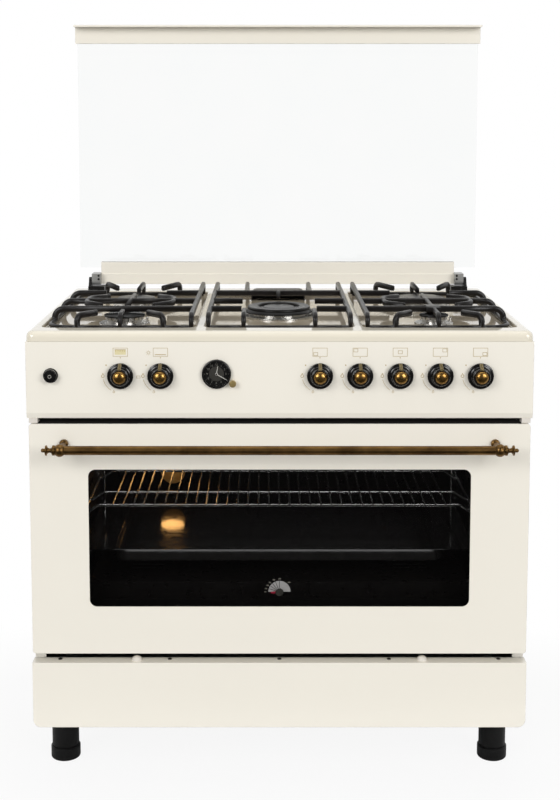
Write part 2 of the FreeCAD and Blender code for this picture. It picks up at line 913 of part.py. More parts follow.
# Burner places: X, Y, cap diameter and number of flame slots
FRONT_BURNER_SHARE = 0.1616
CENTRE_BURNER_SHARE = 0.38
REAR_BURNER_SHARE = 0.668
front_burner_y = grate_front + grate_depth * FRONT_BURNER_SHARE
centre_burner_y = grate_front + grate_depth * CENTRE_BURNER_SHARE
rear_burner_y = grate_front + grate_depth * REAR_BURNER_SHARE
BURNERS = [
    (-side_burner_x, front_burner_y, n.medium_cap_diameter, 20),
    (-side_burner_x, rear_burner_y, n.medium_cap_diameter, 20),
    (ZERO, centre_burner_y, n.wok_ring_diameter, 28),
    (side_burner_x, rear_burner_y, n.fast_cap_diameter, 26),
    (side_burner_x, front_burner_y, n.small_cap_diameter, 16),
]
WOK = 2

# Hob top: skirted sheet with three bowls, burner holes and the flue opening
hob = new_body("hob_body")
pad(hob, rounded(new_sketch(hob, "XY", skirt_z), -half, half, front, back, n.hob_corner), n.hob_skirt, "XY")
under = new_sketch(hob, "XY", skirt_z)
rounded(under, n.hob_sheet - half, half - n.hob_sheet, front + n.hob_sheet, back - n.hob_sheet,
        n.hob_corner - n.hob_sheet)
pocket(hob, under, n.hob_skirt - n.hob_sheet, "XY")
round_edges(hob, n.hob_edge_radius - n.hob_sheet, hob_z - n.hob_sheet, (-half, front), (half, back))
round_edges(hob, n.hob_edge_radius, hob_z, (-half, front), (half, back))
bowl_front = front + n.bowl_front_border
bowl_back = back - n.bowl_rear_border
ridge_in = n.ridge_x - n.bowl_ridge / 2
ridge_out = n.ridge_x + n.bowl_ridge / 2
bowl_out = half - n.bowl_side_border
BOWLS = [(-bowl_out, -ridge_out), (-ridge_in, ridge_in), (ridge_out, bowl_out)]
for x0, x1 in BOWLS:
    grow = n.hob_sheet
    sketch = new_sketch(hob, "XY", hob_z - n.hob_sheet)
    rounded(sketch, x0 - grow, x1 + grow, bowl_front - grow, bowl_back + grow, n.bowl_corner + grow)
    pad(hob, sketch, n.bowl_depth, "XY", False)
for x0, x1 in BOWLS:
    sketch = rounded(new_sketch(hob, "XY", hob_z), x0, x1, bowl_front, bowl_back, n.bowl_corner)
    pocket(hob, sketch, n.bowl_depth, "XY", False)
for x0, x1 in BOWLS:
    round_edges(hob, n.bowl_rim_radius, hob_z, (x0, bowl_front), (x1, bowl_back))
    round_edges(hob, n.bowl_floor_radius, bowl_floor, (x0, bowl_front), (x1, bowl_back))
sketch = new_sketch(hob, "XY", hob_z)
for x, y, cap, slots in BURNERS:
    circle(sketch, x, y, cap - n.burner_cup_wall * 2 + n.seat_clearance * 2)
flue_front = cavity_back - n.flue_inset
flue_middle = flue_front + n.flue_depth / 2
rectangle(sketch, -n.flue_duct_width / 2, n.flue_duct_width / 2,
          flue_middle - n.flue_duct_depth / 2, flue_middle + n.flue_duct_depth / 2)
pocket(hob, sketch, n.bowl_depth + n.hob_sheet + n.cut_overrun, "XY", False)
node(hob, "hob_top")


# Burners: a base cup that hangs in the hob, a slotted head and a domed cap
def burner_base(x, y, cap):
    body = new_body("burner_base")
    cup = cap / 2 - n.burner_cup_wall
    flange = cap / 2 + n.burner_flange_margin
    shoulder = cap / 2 - n.burner_head_inset
    low = n.burner_cup_bottom_diameter / 2
    revolve(body, [
        (ZERO, -n.burner_cup_depth),
        (low, -n.burner_cup_depth),
        (cup, -n.burner_cup_depth / 2),
        (cup, ZERO),
        (flange, ZERO),
        (flange, n.burner_flange_height),
        (shoulder, n.burner_flange_height),
        (shoulder, n.burner_base_height),
        (ZERO, n.burner_base_height),
    ], "XZ")
    return place(body, x, y, bowl_floor)


def burner_head(x, y, cap, slots):
    body = new_body("burner_head")
    outer = cap / 2 - n.burner_head_inset / 2
    foot_ring = cap / 2 - n.burner_head_inset
    revolve(body, [
        (ZERO, ZERO),
        (foot_ring, ZERO),
        (outer, n.burner_head_inset / 2),
        (outer, n.burner_head_height),
        (ZERO, n.burner_head_height),
    ], "XZ")
    sketch = new_sketch(body, "XY", n.burner_head_height)
    rectangle(sketch, outer - n.burner_slot_depth, outer + n.cut_overrun,
              -n.burner_slot_width / 2, n.burner_slot_width / 2)
    slot = pocket(body, sketch, n.burner_head_height - n.burner_head_inset / 2, "XY", False)
    polar_pattern(body, slot, "Z", slots)
    return place(body, x, y, bowl_floor + n.burner_base_height)


def burner_cap(x, y, cap, hole=None):
    """A domed cap, or a ring with a rounded crown where it has a hole."""
    body = new_body("burner_cap")
    outer = cap / 2
    low = n.burner_cap_height - n.burner_cap_edge - n.burner_cap_dome
    edge = n.burner_cap_height - n.burner_cap_dome
    crown = n.burner_cap_edge * CORNER_BULGE_SHARE
    if hole is None:
        points = [
            (ZERO, ZERO),
            (outer, ZERO),
            (outer, low),
            (outer - n.burner_cap_edge, edge, -crown),
            (ZERO, n.burner_cap_height),
        ]
    else:
        inner = hole / 2
        points = [
            (inner, ZERO),
            (outer, ZERO),
            (outer, low),
            (outer - n.burner_cap_edge, n.burner_cap_height, -crown),
            (inner + n.burner_cap_edge, n.burner_cap_height),
            (inner, edge),
        ]
    revolve(body, points, "XZ")
    return place(body, x, y, bowl_floor + n.burner_base_height + n.burner_head_height)


bases = [burner_base(x, y, cap) for x, y, cap, slots in BURNERS]
for x, y, cap, slots in BURNERS:
    reach = cap / 2 + n.burner_flange_margin / 2
    bases.append(rod("Z", n.electrode_diameter, n.electrode_height, x + reach, y,
                     bowl_floor + n.burner_flange_height, "electrode"))
node(group(bases), "burner_bases")
node(group([burner_head(*spec) for spec in BURNERS]), "burner_heads")
caps = [burner_cap(x, y, cap) for k, (x, y, cap, slots) in enumerate(BURNERS) if k != WOK]
wok_x, wok_y, wok_cap, wok_slots = BURNERS[WOK]
caps.append(burner_cap(wok_x, wok_y, wok_cap, wok_cap - n.wok_ring_width * 2))
caps.append(burner_cap(wok_x, wok_y, n.wok_cap_diameter))
node(group(caps), "burner_caps")

# Flue outlet: a hood on the hob over the duct that comes up from the oven
hood = new_body("hood")
hood_top = n.flue_height - n.flue_corner
hood_half = n.flue_width / 2
bulge = -n.flue_corner * CORNER_BULGE_SHARE
pad(hood, outline(new_sketch(hood, "XZ"), [
    (-hood_half, ZERO),
    (hood_half, ZERO),
    (hood_half, hood_top),
    (hood_half - n.flue_corner, n.flue_height, bulge),
    (n.flue_corner - hood_half, n.flue_height),
    (-hood_half, hood_top, bulge),
]), n.flue_depth, "XZ")
inside = hood_half - n.flue_wall
sketch = rectangle(new_sketch(hood, "XY"), -inside, inside, n.flue_wall, n.flue_depth - n.flue_wall)
pocket(hood, sketch, hood_top, "XY")
sketch = rectangle(new_sketch(hood, "XZ"), -inside, inside, ZERO, n.flue_slot_height)
pocket(hood, sketch, n.flue_wall + n.cut_overrun, "XZ")
place(hood, ZERO, flue_front, bowl_floor)
duct_x = n.flue_duct_width / 2
duct_y = n.flue_duct_depth / 2
duct_outer = box(-duct_x, duct_x, flue_middle - duct_y, flue_middle + duct_y, cavity_top + n.sheet, bowl_under)
duct_inner = box(n.sheet - duct_x, duct_x - n.sheet, flue_middle - duct_y + n.sheet, flue_middle + duct_y - n.sheet,
                 cavity_top, hob_z)
node(group([hood, cut(duct_outer, duct_inner, "duct")]), "flue_outlet")


# Pan supports: bars with eased edges that stand on a round rod frame in each bowl
def grate_bar(points, radius, across, width, height):
    """A bent bar whose section keeps its width along one direction."""
    path = rounded_path(points, radius)
    along = (points[1] - points[0]).normalize()
    upward = across.cross(along)
    w = width / 2
    h = height / 2
    e = n.grate_bar_edge.value
    ring = [(w, e - h), (w, h - e), (w - e, h), (e - w, h), (-w, h - e), (-w, e - h), (e - w, -h), (w - e, -h)]
    corners = [points[0] + across * u + upward * v for u, v in ring]
    section = Part.makePolygon(corners + corners[:1])
    shell = Part.BRepOffsetAPI.MakePipeShell(path)
    shell.setBiNormalMode(across)
    shell.add(section, False, False)
    shell.build()
    shell.makeSolid()
    return shell.shape()


GRATE_W = n.grate_bar_width.value
GRATE_H = n.grate_bar_height.value
GRATE_TOP = (bowl_floor + n.grate_height).value
BAR_Z = GRATE_TOP - GRATE_H / 2
ROD_Z = (bowl_floor + n.seat_clearance + n.grate_rod_diameter / 2).value
GRATE_FRONT = grate_front.value
GRATE_REAR = grate_rear.value
FRONT_BAR_SHARE = 0.188
MIDDLE_BAR_SHARE = 0.419
REAR_BAR_SHARE = 0.677
ROW_FRONT = (grate_front + grate_depth * FRONT_BAR_SHARE).value
ROW_MIDDLE = (grate_front + grate_depth * MIDDLE_BAR_SHARE).value
ROW_REAR = (grate_front + grate_depth * REAR_BAR_SHARE).value
BEND = n.grate_bend.value
ALONG_X = Vector(1, 0, 0)
ALONG_Y = Vector(0, 1, 0)
ALONG_Z = Vector(0, 0, 1)


def flat_bar(points, radius=BEND):
    """A bar that lies level at the top of the support, or falls from it in its own upright plane."""
    level = points[-1] - points[0]
    level.z = 0
    across = Vector(-level.y, level.x, 0).normalize()
    return grate_bar(points, radius, across, GRATE_W, GRATE_H)


def leg_bar(x, y, tip_x, tip_y):
    """A leg on the rod frame that turns into a level finger."""
    return flat_bar([Vector(x, y, ROD_Z), Vector(x, y, BAR_Z), Vector(tip_x, tip_y, BAR_Z)])


def bridge_bar(x):
    """A front-to-back bar with a leg at each end."""
    points = [Vector(x, GRATE_FRONT, ROD_Z), Vector(x, GRATE_FRONT, BAR_Z),
              Vector(x, GRATE_REAR, BAR_Z), Vector(x, GRATE_REAR, ROD_Z)]
    return grate_bar(points, BEND, ALONG_X, GRATE_W, GRATE_H)


def side_grate(side, with_plate):
    outer = (half - n.grate_side_inset).value * side
    inner = n.grate_inner_x.value * side
    burner = side_burner_x.value * side
    rod = n.grate_rod_diameter.value
    frame_rod = round_sweep([Vector(inner, GRATE_FRONT, ROD_Z), Vector(outer, GRATE_FRONT, ROD_Z),
                             Vector(outer, GRATE_REAR, ROD_Z), Vector(inner, GRATE_REAR, ROD_Z)],
                            n.grate_corner.value, rod)
    bars = [bridge_bar(inner)]
    drop = n.grate_drop_bend.value
    for y in (ROW_FRONT, ROW_MIDDLE):
        bars.append(flat_bar([Vector(inner, y, BAR_Z), Vector(outer, y, BAR_Z), Vector(outer, y, ROD_Z)], drop))
    gap = n.grate_burner_gap.value * side
    bars.append(flat_bar([Vector(inner, ROW_REAR, BAR_Z), Vector(burner - gap, ROW_REAR, BAR_Z)]))
    bars.append(flat_bar([Vector(burner + gap, ROW_REAR, BAR_Z), Vector(outer, ROW_REAR, BAR_Z),
                          Vector(outer, ROW_REAR, ROD_Z)], drop))
    inset = n.grate_finger_inset.value
    for k in BOTH:
        x = burner + k * n.grate_leg_spread.value
        bars.append(leg_bar(x, GRATE_FRONT, x - k * inset, GRATE_FRONT + n.grate_finger_reach.value))
        bars.append(leg_bar(x, GRATE_REAR, x - k * inset, GRATE_REAR - n.grate_rear_finger_reach.value))
        spread = burner + k * n.grate_fork_spread.value
        tip = burner + k * n.grate_fork_tip_spread.value
        reach = n.grate_fork_reach.value
        turn = n.grate_fork_turn.value
        fork = [Vector(tip, ROW_MIDDLE - reach, BAR_Z), Vector(spread, ROW_MIDDLE - turn, BAR_Z),
                Vector(spread, ROW_MIDDLE + turn, BAR_Z), Vector(tip, ROW_MIDDLE + reach, BAR_Z)]
        bars.append(grate_bar(fork, turn, ALONG_Z, GRATE_H, GRATE_W))
    middle_end = ROW_MIDDLE + n.grate_middle_rear_reach.value
    if with_plate:
        bars.append(leg_bar(burner, GRATE_FRONT, burner, middle_end))
        width = n.grate_plate_width.value
        length = n.grate_plate_length.value
        corner = Vector(burner - width / 2, ROW_FRONT - length / 2, GRATE_TOP - GRATE_H)
        bars.append(Part.makeBox(width, length, GRATE_H, corner))
    else:
        bars.append(leg_bar(burner, GRATE_FRONT, burner, GRATE_FRONT + n.grate_centre_finger.value))
        bars.append(flat_bar([Vector(burner, ROW_MIDDLE - n.grate_middle_front_reach.value, BAR_Z),
                              Vector(burner, middle_end, BAR_Z)]))
    bars.append(leg_bar(burner, GRATE_REAR, burner, GRATE_REAR - n.grate_centre_rear_finger.value))
    return frame_rod.multiFuse(bars).removeSplitter()


def centre_grate():
    edge = n.grate_centre_x.value
    rod = n.grate_rod_diameter.value / 2
    leg = n.grate_wok_leg_x.value
    bars = [bridge_bar(side * edge) for side in BOTH]
    for y in (GRATE_FRONT, GRATE_REAR):
        bars.append(Part.makeCylinder(rod, 2 * edge, Vector(-edge, y, ROD_Z), ALONG_X))
    for side in BOTH:
        bars.append(leg_bar(side * leg, GRATE_FRONT, side * leg, GRATE_FRONT + n.grate_wok_finger.value))
        bars.append(leg_bar(side * leg, GRATE_REAR, side * leg, ROW_REAR))
        tip = side * (edge - n.grate_wok_stub.value)
        for y in (ROW_FRONT, ROW_MIDDLE):
            bars.append(flat_bar([Vector(side * edge, y, BAR_Z), Vector(tip, y, BAR_Z)]))
    bars.append(flat_bar([Vector(-edge, ROW_REAR, BAR_Z), Vector(edge, ROW_REAR, BAR_Z)]))
    finger = ROW_REAR - n.grate_wok_rear_finger.value
    bars.append(flat_bar([Vector(0, ROW_REAR, BAR_Z), Vector(0, finger, BAR_Z)]))
    return bars[0].multiFuse(bars[1:]).removeSplitter()


shape_node("pan_support_left", side_grate(-1, False))
shape_node("pan_support_centre", centre_grate())
shape_node("pan_support_right", side_grate(1, True))

# Oven cavity: a pressed box with rounded long edges and a flange at the mouth
LAMP_HEIGHT_SHARE = 0.4045
cavity = new_body("cavity_body")
wall = n.sheet
pad(cavity, rounded(new_sketch(cavity, "XZ", frame_back), -cavity_half - wall, cavity_half + wall,
                    cavity_low - wall, cavity_top + wall, n.cavity_corner + wall), cavity_depth, "XZ")
lip = n.cavity_flange
pad(cavity, rounded(new_sketch(cavity, "XZ", frame_back), -cavity_half - lip, cavity_half + lip,
                    cavity_low - lip, cavity_top + lip, n.cavity_corner + lip), wall, "XZ")
pocket(cavity, rounded(new_sketch(cavity, "XZ", frame_back), -cavity_half, cavity_half, cavity_low, cavity_top,
                       n.cavity_corner), cavity_depth - wall, "XZ")
oven_burner_z = cavity_low + n.oven_burner_rise
grill_burner_z = cavity_top - n.grill_burner_drop
lamp_z = cavity_low + (cavity_top - cavity_low) * LAMP_HEIGHT_SHARE
feed_hole = n.oven_burner_feed + n.seat_clearance * 2
lamp_hole = n.lamp_body_diameter + n.seat_clearance * 2
rear_holes = [(oven_knob_x[0], oven_burner_z, feed_hole), (oven_knob_x[1], grill_burner_z, feed_hole),
              (-n.lamp_x, lamp_z, lamp_hole)]
sketch = new_sketch(cavity, "XZ", cavity_back)
for x, z, diameter in rear_holes:
    circle(sketch, x, z, diameter)
pocket(cavity, sketch, wall + n.cut_overrun, "XZ", False)
flue_hole = rectangle(new_sketch(cavity, "XY", cavity_top + wall), wall - duct_x, duct_x - wall,
                      flue_middle - duct_y + wall, flue_middle + duct_y - wall)
pocket(cavity, flue_hole, wall + n.cut_overrun, "XY", False)
node(cavity, "oven_cavity")

# Insulation blanket round the cavity, behind its flange
blanket = new_body("blanket")
blanket_front = frame_back + wall
grow = wall + n.insulation
pad(blanket, rounded(new_sketch(blanket, "XZ", blanket_front), -cavity_half - grow, cavity_half + grow,
                     cavity_low - grow, cavity_top + grow, n.cavity_corner + grow),
    insulation_back - blanket_front, "XZ")
pocket(blanket, rounded(new_sketch(blanket, "XZ", blanket_front), -cavity_half - wall, cavity_half + wall,
                        cavity_low - wall, cavity_top + wall, n.cavity_corner + wall),
       cavity_back - blanket_front, "XZ")
sketch = new_sketch(blanket, "XZ", insulation_back)
for x, z, diameter in rear_holes:
    circle(sketch, x, z, diameter)
pocket(blanket, sketch, n.insulation + n.cut_overrun, "XZ", False)
flue_hole = rectangle(new_sketch(blanket, "XY", cavity_top + grow), -duct_x, duct_x,
                      flue_middle - duct_y, flue_middle + duct_y)
pocket(blanket, flue_hole, n.insulation + n.cut_overrun, "XY", False)
node(blanket, "oven_insulation")

# Oven floor plate: folded down at the front and back, slotted at both sides
plate = new_body("plate_body")
plate_z = cavity_low + n.floor_plate_rise
plate_half = cavity_half - n.cavity_corner - n.floor_plate_side_gap
plate_front = frame_back + n.floor_plate_setback
plate_back = cavity_back - n.floor_plate_rear_gap
pad(plate, outline(new_sketch(plate, "YZ", -plate_half), [
    (plate_front, cavity_low),
    (plate_front + wall, cavity_low),
    (plate_front + wall, plate_z - wall),
    (plate_back - wall, plate_z - wall),
    (plate_back - wall, cavity_low),
    (plate_back, cavity_low),
    (plate_back, plate_z),
    (plate_front, plate_z),
]), plate_half * 2, "YZ")
row_length = n.floor_slot_pitch * (n.floor_slot_count - 1)
first_slot = (plate_front + plate_back - row_length) / 2
for side in BOTH:
    centre = (plate_half - n.floor_slot_inset) * side
    sketch = rectangle(new_sketch(plate, "XY", plate_z), centre - n.floor_slot_length / 2,
                       centre + n.floor_slot_length / 2, first_slot - n.floor_slot_width / 2,
                       first_slot + n.floor_slot_width / 2)
    slot = pocket(plate, sketch, wall + n.cut_overrun, "XY", False)
    linear_pattern(plate, slot, "Y", row_length, n.floor_slot_count)
sketch = circle(new_sketch(plate, "XZ", plate_back), oven_knob_x[0], oven_burner_z, feed_hole)
pocket(plate, sketch, wall + n.cut_overrun, "XZ", False)
node(plate, "oven_floor_plate")


# Tube burners of the oven and the grill, fed through the rear wall
def tube_burner(label, feed_x, setback, z, end, ports_up):
    body = new_body("tube_burner")
    r = n.oven_burner_diameter / 2
    dome = n.oven_burner_dome
    revolve(body, [
        (-end, ZERO),
        (end, ZERO),
        (end, r - dome),
        (end - dome, r, -dome * CORNER_BULGE_SHARE),
        (dome - end, r),
        (-end, r - dome, -dome * CORNER_BULGE_SHARE),
    ], "XZ", "H")
    sketch = circle(new_sketch(body, "XZ"), feed_x, ZERO, n.oven_burner_feed)
    pad(body, sketch, insulation_back + n.feed_tail - frame_back - setback, "XZ")
    row = (end - n.oven_port_end_gap) * 2
    sketch = circle(new_sketch(body, "XY", r if ports_up else -r), -row / 2, ZERO, n.oven_port_diameter)
    port = pocket(body, sketch, n.cut_overrun, "XY", not ports_up)
    linear_pattern(body, port, "X", row, n.oven_port_count)
    place(body, ZERO, frame_back + setback, z)
    return node(body, label)


tube_burner("oven_burner", oven_knob_x[0], n.oven_burner_setback, oven_burner_z,
            cavity_half - n.tube_burner_end_gap, True)
tube_burner("grill_burner", oven_knob_x[1], n.grill_burner_setback, grill_burner_z,
            cavity_half - n.tube_burner_end_gap, False)

# Oven lamp: a body through the rear wall with a domed glass inside the oven
lamp = new_body("lamp_body")
lamp_r = n.lamp_diameter / 2
body_r = n.lamp_body_diameter / 2
revolve(lamp, [
    (ZERO, wall + n.insulation + n.feed_tail),
    (body_r, wall + n.insulation + n.feed_tail),
    (body_r, ZERO),
    (lamp_r, ZERO),
    (lamp_r, -n.lamp_flange),
    (ZERO, -n.lamp_height, dome_bulge(lamp_r, n.lamp_height - n.lamp_flange)),
], "XY")
place(lamp, -n.lamp_x, cavity_back - wall, lamp_z)
node(lamp, "oven_lamp")

# Side racks: two posts on pins, with level runners
RACK_X = (cavity_half - n.rack_wall_gap).value
RUNNER_X = (cavity_half - n.rack_wall_gap - n.rack_post / 2 - n.rack_wire / 2).value
RACK_FRONT = (frame_back + n.rack_front_setback).value
RACK_BACK = (cavity_back - n.rack_rear_gap).value
level_low = cavity_low + n.rack_low_rise
level_pitch = (cavity_top - n.rack_top_gap - level_low) / (n.rack_level_count - 1)
LEVELS = [(level_low + level_pitch * k).value for k in range(SIZES["rack_level_count"])]
OVERRUN = n.rack_post_overrun.value
WIRE = n.rack_wire.value / 2
POST = n.rack_post.value / 2


def side_rack(side):
    low = LEVELS[0] - OVERRUN
    high = LEVELS[-1] + OVERRUN
    x = side * RACK_X
    wires = []
    for y in (RACK_FRONT + OVERRUN, RACK_BACK - OVERRUN):
        wires.append(Part.makeCylinder(POST, high - low, Vector(x, y, low)))
        for z in (low + OVERRUN / 2, high - OVERRUN / 2):
            start = Vector(x, y, z)
            wires.append(Part.makeCylinder(WIRE, n.rack_wall_gap.value, start, ALONG_X * side))
    weld = n.seat_clearance.value
    for z in LEVELS:
        start = Vector(side * (RUNNER_X + weld), RACK_FRONT, z)
        wires.append(Part.makeCylinder(WIRE, RACK_BACK - RACK_FRONT, start, ALONG_Y))
    return wires[0].multiFuse(wires[1:])


shape_node("shelf_racks", Part.makeCompound([side_rack(side) for side in BOTH]))

# Wire shelf: stepped cross wires between two side rods, with a row of thin bars on top
SHELF_WIRE = n.shelf_wire.value
SHELF_CROSS = n.shelf_cross_wire.value
SHELF_BAR = n.shelf_bar_wire.value
SHELF_X = RUNNER_X - n.shelf_side_play.value
SHELF_Z = LEVELS[1] + WIRE + n.seat_clearance.value + SHELF_WIRE / 2
SHELF_FRONT = (frame_back + n.shelf_setback).value
SHELF_BACK = (cavity_back - n.shelf_rear_gap).value
SHELF_TOP = SHELF_Z + n.shelf_step.value


def stepped_wire(y):
    lead = SHELF_X - SHELF_WIRE
    crest = lead - n.shelf_step_run.value
    points = [Vector(-SHELF_X, y, SHELF_Z), Vector(-lead, y, SHELF_Z), Vector(-crest, y, SHELF_TOP),
              Vector(crest, y, SHELF_TOP), Vector(lead, y, SHELF_Z), Vector(SHELF_X, y, SHELF_Z)]
    return round_sweep(points, SHELF_WIRE, SHELF_CROSS)


def wire_shelf():
    wires = [Part.makeCylinder(SHELF_WIRE / 2, SHELF_BACK - SHELF_FRONT, Vector(side * SHELF_X, SHELF_FRONT, SHELF_Z),
                               ALONG_Y) for side in BOTH]
    second = SHELF_FRONT + n.shelf_second_wire.value
    rows = [SHELF_FRONT + SHELF_WIRE, second, (second + SHELF_BACK) / 2, SHELF_BACK - SHELF_WIRE]
    wires += [stepped_wire(y) for y in rows]
    count = SIZES["shelf_bar_count"]
    pitch = (SHELF_X - n.shelf_bar_end_gap.value) * 2 / (count - 1)
    bar_z = SHELF_TOP + SHELF_CROSS / 2
    for k in range(count):
        x = (k - (count - 1) / 2) * pitch
        wires.append(Part.makeCylinder(SHELF_BAR / 2, SHELF_BACK - SHELF_FRONT, Vector(x, SHELF_FRONT, bar_z), ALONG_Y))
    return wires[0].multiFuse(wires[1:])


shape_node("oven_shelf", wire_shelf())

# Baking tray: hangs by its side flanges on the lowest runners
tray = new_body("tray_body")
runner_top = level_low + n.rack_wire / 2 + n.seat_clearance
tray_half = cavity_half - n.tray_side_inset
tray_front = frame_back + n.tray_setback
tray_back = cavity_back - n.tray_rear_gap
tray_wall = n.tray_wall
pad(tray, rounded(new_sketch(tray, "XY", runner_top - n.tray_height), -tray_half, tray_half, tray_front, tray_back,
                  n.tray_corner), n.tray_height + tray_wall, "XY")
tray_edge = cavity_half - n.tray_flange_inset
pad(tray, rectangle(new_sketch(tray, "XY", runner_top), -tray_edge, tray_edge, tray_front, tray_back), tray_wall, "XY")
pocket(tray, rounded(new_sketch(tray, "XY", runner_top + tray_wall), tray_wall - tray_half, tray_half - tray_wall,
                     tray_front + tray_wall, tray_back - tray_wall, n.tray_corner - tray_wall),
       n.tray_height, "XY", False)
node(tray, "baking_tray")

# Door seal on the front frame
seal = new_body("seal_body")
inner_margin = n.seal_margin
outer_margin = n.seal_margin + n.seal_width
seal_sketch = new_sketch(seal, "XZ", frame_y)
for margin in (outer_margin, inner_margin):
    rounded(seal_sketch, -cavity_half - margin, cavity_half + margin, cavity_low - margin, cavity_top + margin,
            n.cavity_corner + margin)
pad(seal, seal_sketch, n.seal_gap - n.seat_clearance, "XZ", False)
node(seal, "door_seal")

# Gas rail with its inlet pipe, the taps on it and the feed pipes
rail_y = front + n.rail_setback
rail_half = n.rail_width / 2
rail_end = half - n.panel_flange
rail = box(-rail_end, rail_end, rail_y, rail_y + n.rail_width, rail_z - rail_half, rail_z + rail_half, "rail")
inlet = new_body("inlet")
inlet_end = back - n.inlet_end_gap
collar_end = inlet_end - n.inlet_length
collar_start = collar_end - n.inlet_collar_length
revolve(inlet, [
    (ZERO, rail_y + n.rail_width),
    (n.inlet_pipe_diameter / 2, rail_y + n.rail_width),
    (n.inlet_pipe_diameter / 2, collar_start),
    (n.inlet_collar_diameter / 2, collar_start),
    (n.inlet_collar_diameter / 2, collar_end),
    (n.inlet_diameter / 2, collar_end),
    (n.inlet_diameter / 2, inlet_end),
    (ZERO, inlet_end),
], "XY")
place(inlet, -inlet_x, ZERO, rail_z)
tap = new_body("tap")
tap_r = n.tap_diameter / 2
tap_end = n.tap_front + n.tap_length
bore_r = n.plug_diameter / 2 + n.running_clearance
bore_end = n.tap_front + n.plug_length + n.running_clearance
saddle = n.saddle_width / 2
saddle_y = n.rail_setback + rail_half
sketch = rectangle(new_sketch(tap, "XY", rail_half - n.rail_drop), -saddle, saddle, saddle_y - saddle, saddle_y + saddle)
pad(tap, sketch, n.rail_drop - rail_half, "XY")
revolve(tap, [
    (ZERO, n.tap_front),
    (tap_r, n.tap_front),
    (tap_r, tap_end),
    (ZERO, tap_end),
], "XY")
sketch = circle(new_sketch(tap, "XZ", n.tap_front), ZERO, ZERO, bore_r * 2)
pocket(tap, sketch, bore_end - n.tap_front, "XZ")
taps = [copy_of(tap, x, front, control_z) for x in knob_x]


def feed_pipe(points):
    return round_sweep([Vector(*[float(value) for value in point]) for point in points],
                       n.pipe_bend.value, n.pipe_diameter.value)


pipe_start = front + tap_end
cup_low = bowl_floor - n.burner_cup_depth
pipe_shapes = []
for k, (x, y, cap, slots) in enumerate(BURNERS):
    start_x = burner_knob_x[k]
    level = control_z - n.pipe_level_drop if k == 3 else control_z + n.pipe_level_rise
    run = pipe_start + n.pipe_first_run
    pipe_shapes.append(feed_pipe([
        (start_x, pipe_start, control_z),
        (start_x, run, control_z),
        (start_x, run + n.pipe_slope_run, level),
        (x, y, level),
        (x, y, cup_low),
    ]))
rear_run = back - n.pipe_rear_gap
feed_end = insulation_back + n.feed_tail
for x, z in zip(oven_knob_x, (oven_burner_z, grill_burner_z)):
    pipe_shapes.append(feed_pipe([
        (x, pipe_start, control_z),
        (x, rear_run, control_z),
        (x, rear_run, z),
        (x, feed_end, z),
    ]))
pipes = doc.addObject("Part::Feature", "pipes")
pipes.Shape = Part.makeCompound(pipe_shapes)
node(group([rail, inlet] + taps + [pipes]), "gas_rail")

# Turning plugs in the taps
plug = new_body("plug")
plug_r = n.plug_diameter / 2
plug_end = n.tap_front + n.plug_length
stem_bore_r = n.stem_diameter / 2 + n.running_clearance
revolve(plug, [
    (stem_bore_r, n.tap_front),
    (plug_r, n.tap_front),
    (plug_r, plug_end),
    (ZERO, plug_end),
    (ZERO, plug_end - n.plug_floor),
    (stem_bore_r, plug_end - n.plug_floor),
], "XY")

# Knobs: a coved skirt, a hub, a raised pointer, a domed cap and the stem
knob = new_body("knob")
skirt_r = n.knob_diameter / 2
hub_r = n.knob_hub_diameter / 2
knob_back = -n.knob_gap
skirt_face = knob_back - n.knob_skirt_height
hub_face = skirt_face - n.knob_hub_height
stem_r = n.stem_diameter / 2
socket_end = knob_back - n.stem_socket
revolve(knob, [
    (stem_r, knob_back),
    (skirt_r, knob_back),
    (skirt_r, skirt_face),
    (hub_r, skirt_face - n.knob_hub_height / 3, n.knob_cove),
    (hub_r - n.knob_hub_draft, hub_face),
    (ZERO, hub_face),
    (ZERO, socket_end),
    (stem_r, socket_end),
], "XY")
pointer_half = n.knob_pointer_width / 2
sketch = rectangle(new_sketch(knob, "XZ", skirt_face + n.knob_skirt_height / 2), -pointer_half, pointer_half,
                   n.knob_pointer_start, skirt_r - n.seat_clearance)
pad(knob, sketch, n.knob_pointer_height + n.knob_skirt_height / 2, "XZ", False)
dome = new_body("knob_dome")
dome_r = n.knob_dome_diameter / 2
revolve(dome, [
    (ZERO, hub_face),
    (dome_r, hub_face),
    (dome_r, hub_face - n.knob_dome_step),
    (ZERO, hub_face - n.knob_dome_step - n.knob_dome_height, dome_bulge(dome_r, n.knob_dome_height)),
], "XY")
KNOB_NAMES = ["oven_knob", "grill_knob"] + ["burner_knob_%d" % (k + 1) for k in range(5)]
PLUG_NAMES = [name.replace("knob", "spindle") for name in KNOB_NAMES]
for x, knob_name, plug_name in zip(knob_x, KNOB_NAMES, PLUG_NAMES):
    stem_copy = rod("Y", n.stem_diameter, n.stem_reach - socket_end, x, front + socket_end, control_z, "stem")
    parts = [copy_of(knob, x, front, control_z), copy_of(dome, x, front, control_z), stem_copy]
    node(group(parts), knob_name)
    node(group([copy_of(plug, x, front, control_z)]), plug_name)

# Clock: a body through the panel with a raised bezel, two hands and a set knob
clock = new_body("clock_body")
body_r = n.clock_body_diameter / 2
bezel_r = n.clock_diameter / 2
window_r = bezel_r - n.clock_bezel_wall
arbor_r = n.clock_arbor_diameter / 2
dial = -n.clock_dial_proud
revolve(clock, [
    (ZERO, n.clock_body_length),
    (body_r, n.clock_body_length),
    (body_r, ZERO),
    (bezel_r, ZERO),
    (bezel_r, n.clock_bezel_crown - n.clock_bezel_height),
    (window_r, -n.clock_bezel_height, n.clock_bezel_crown / 2),
    (window_r, dial),
    (arbor_r, dial),
    (arbor_r, dial - n.clock_arbor_length),
    (ZERO, dial - n.clock_arbor_length),
], "XY")
node(place(clock, clock_x, front, clock_z), "clock_case")


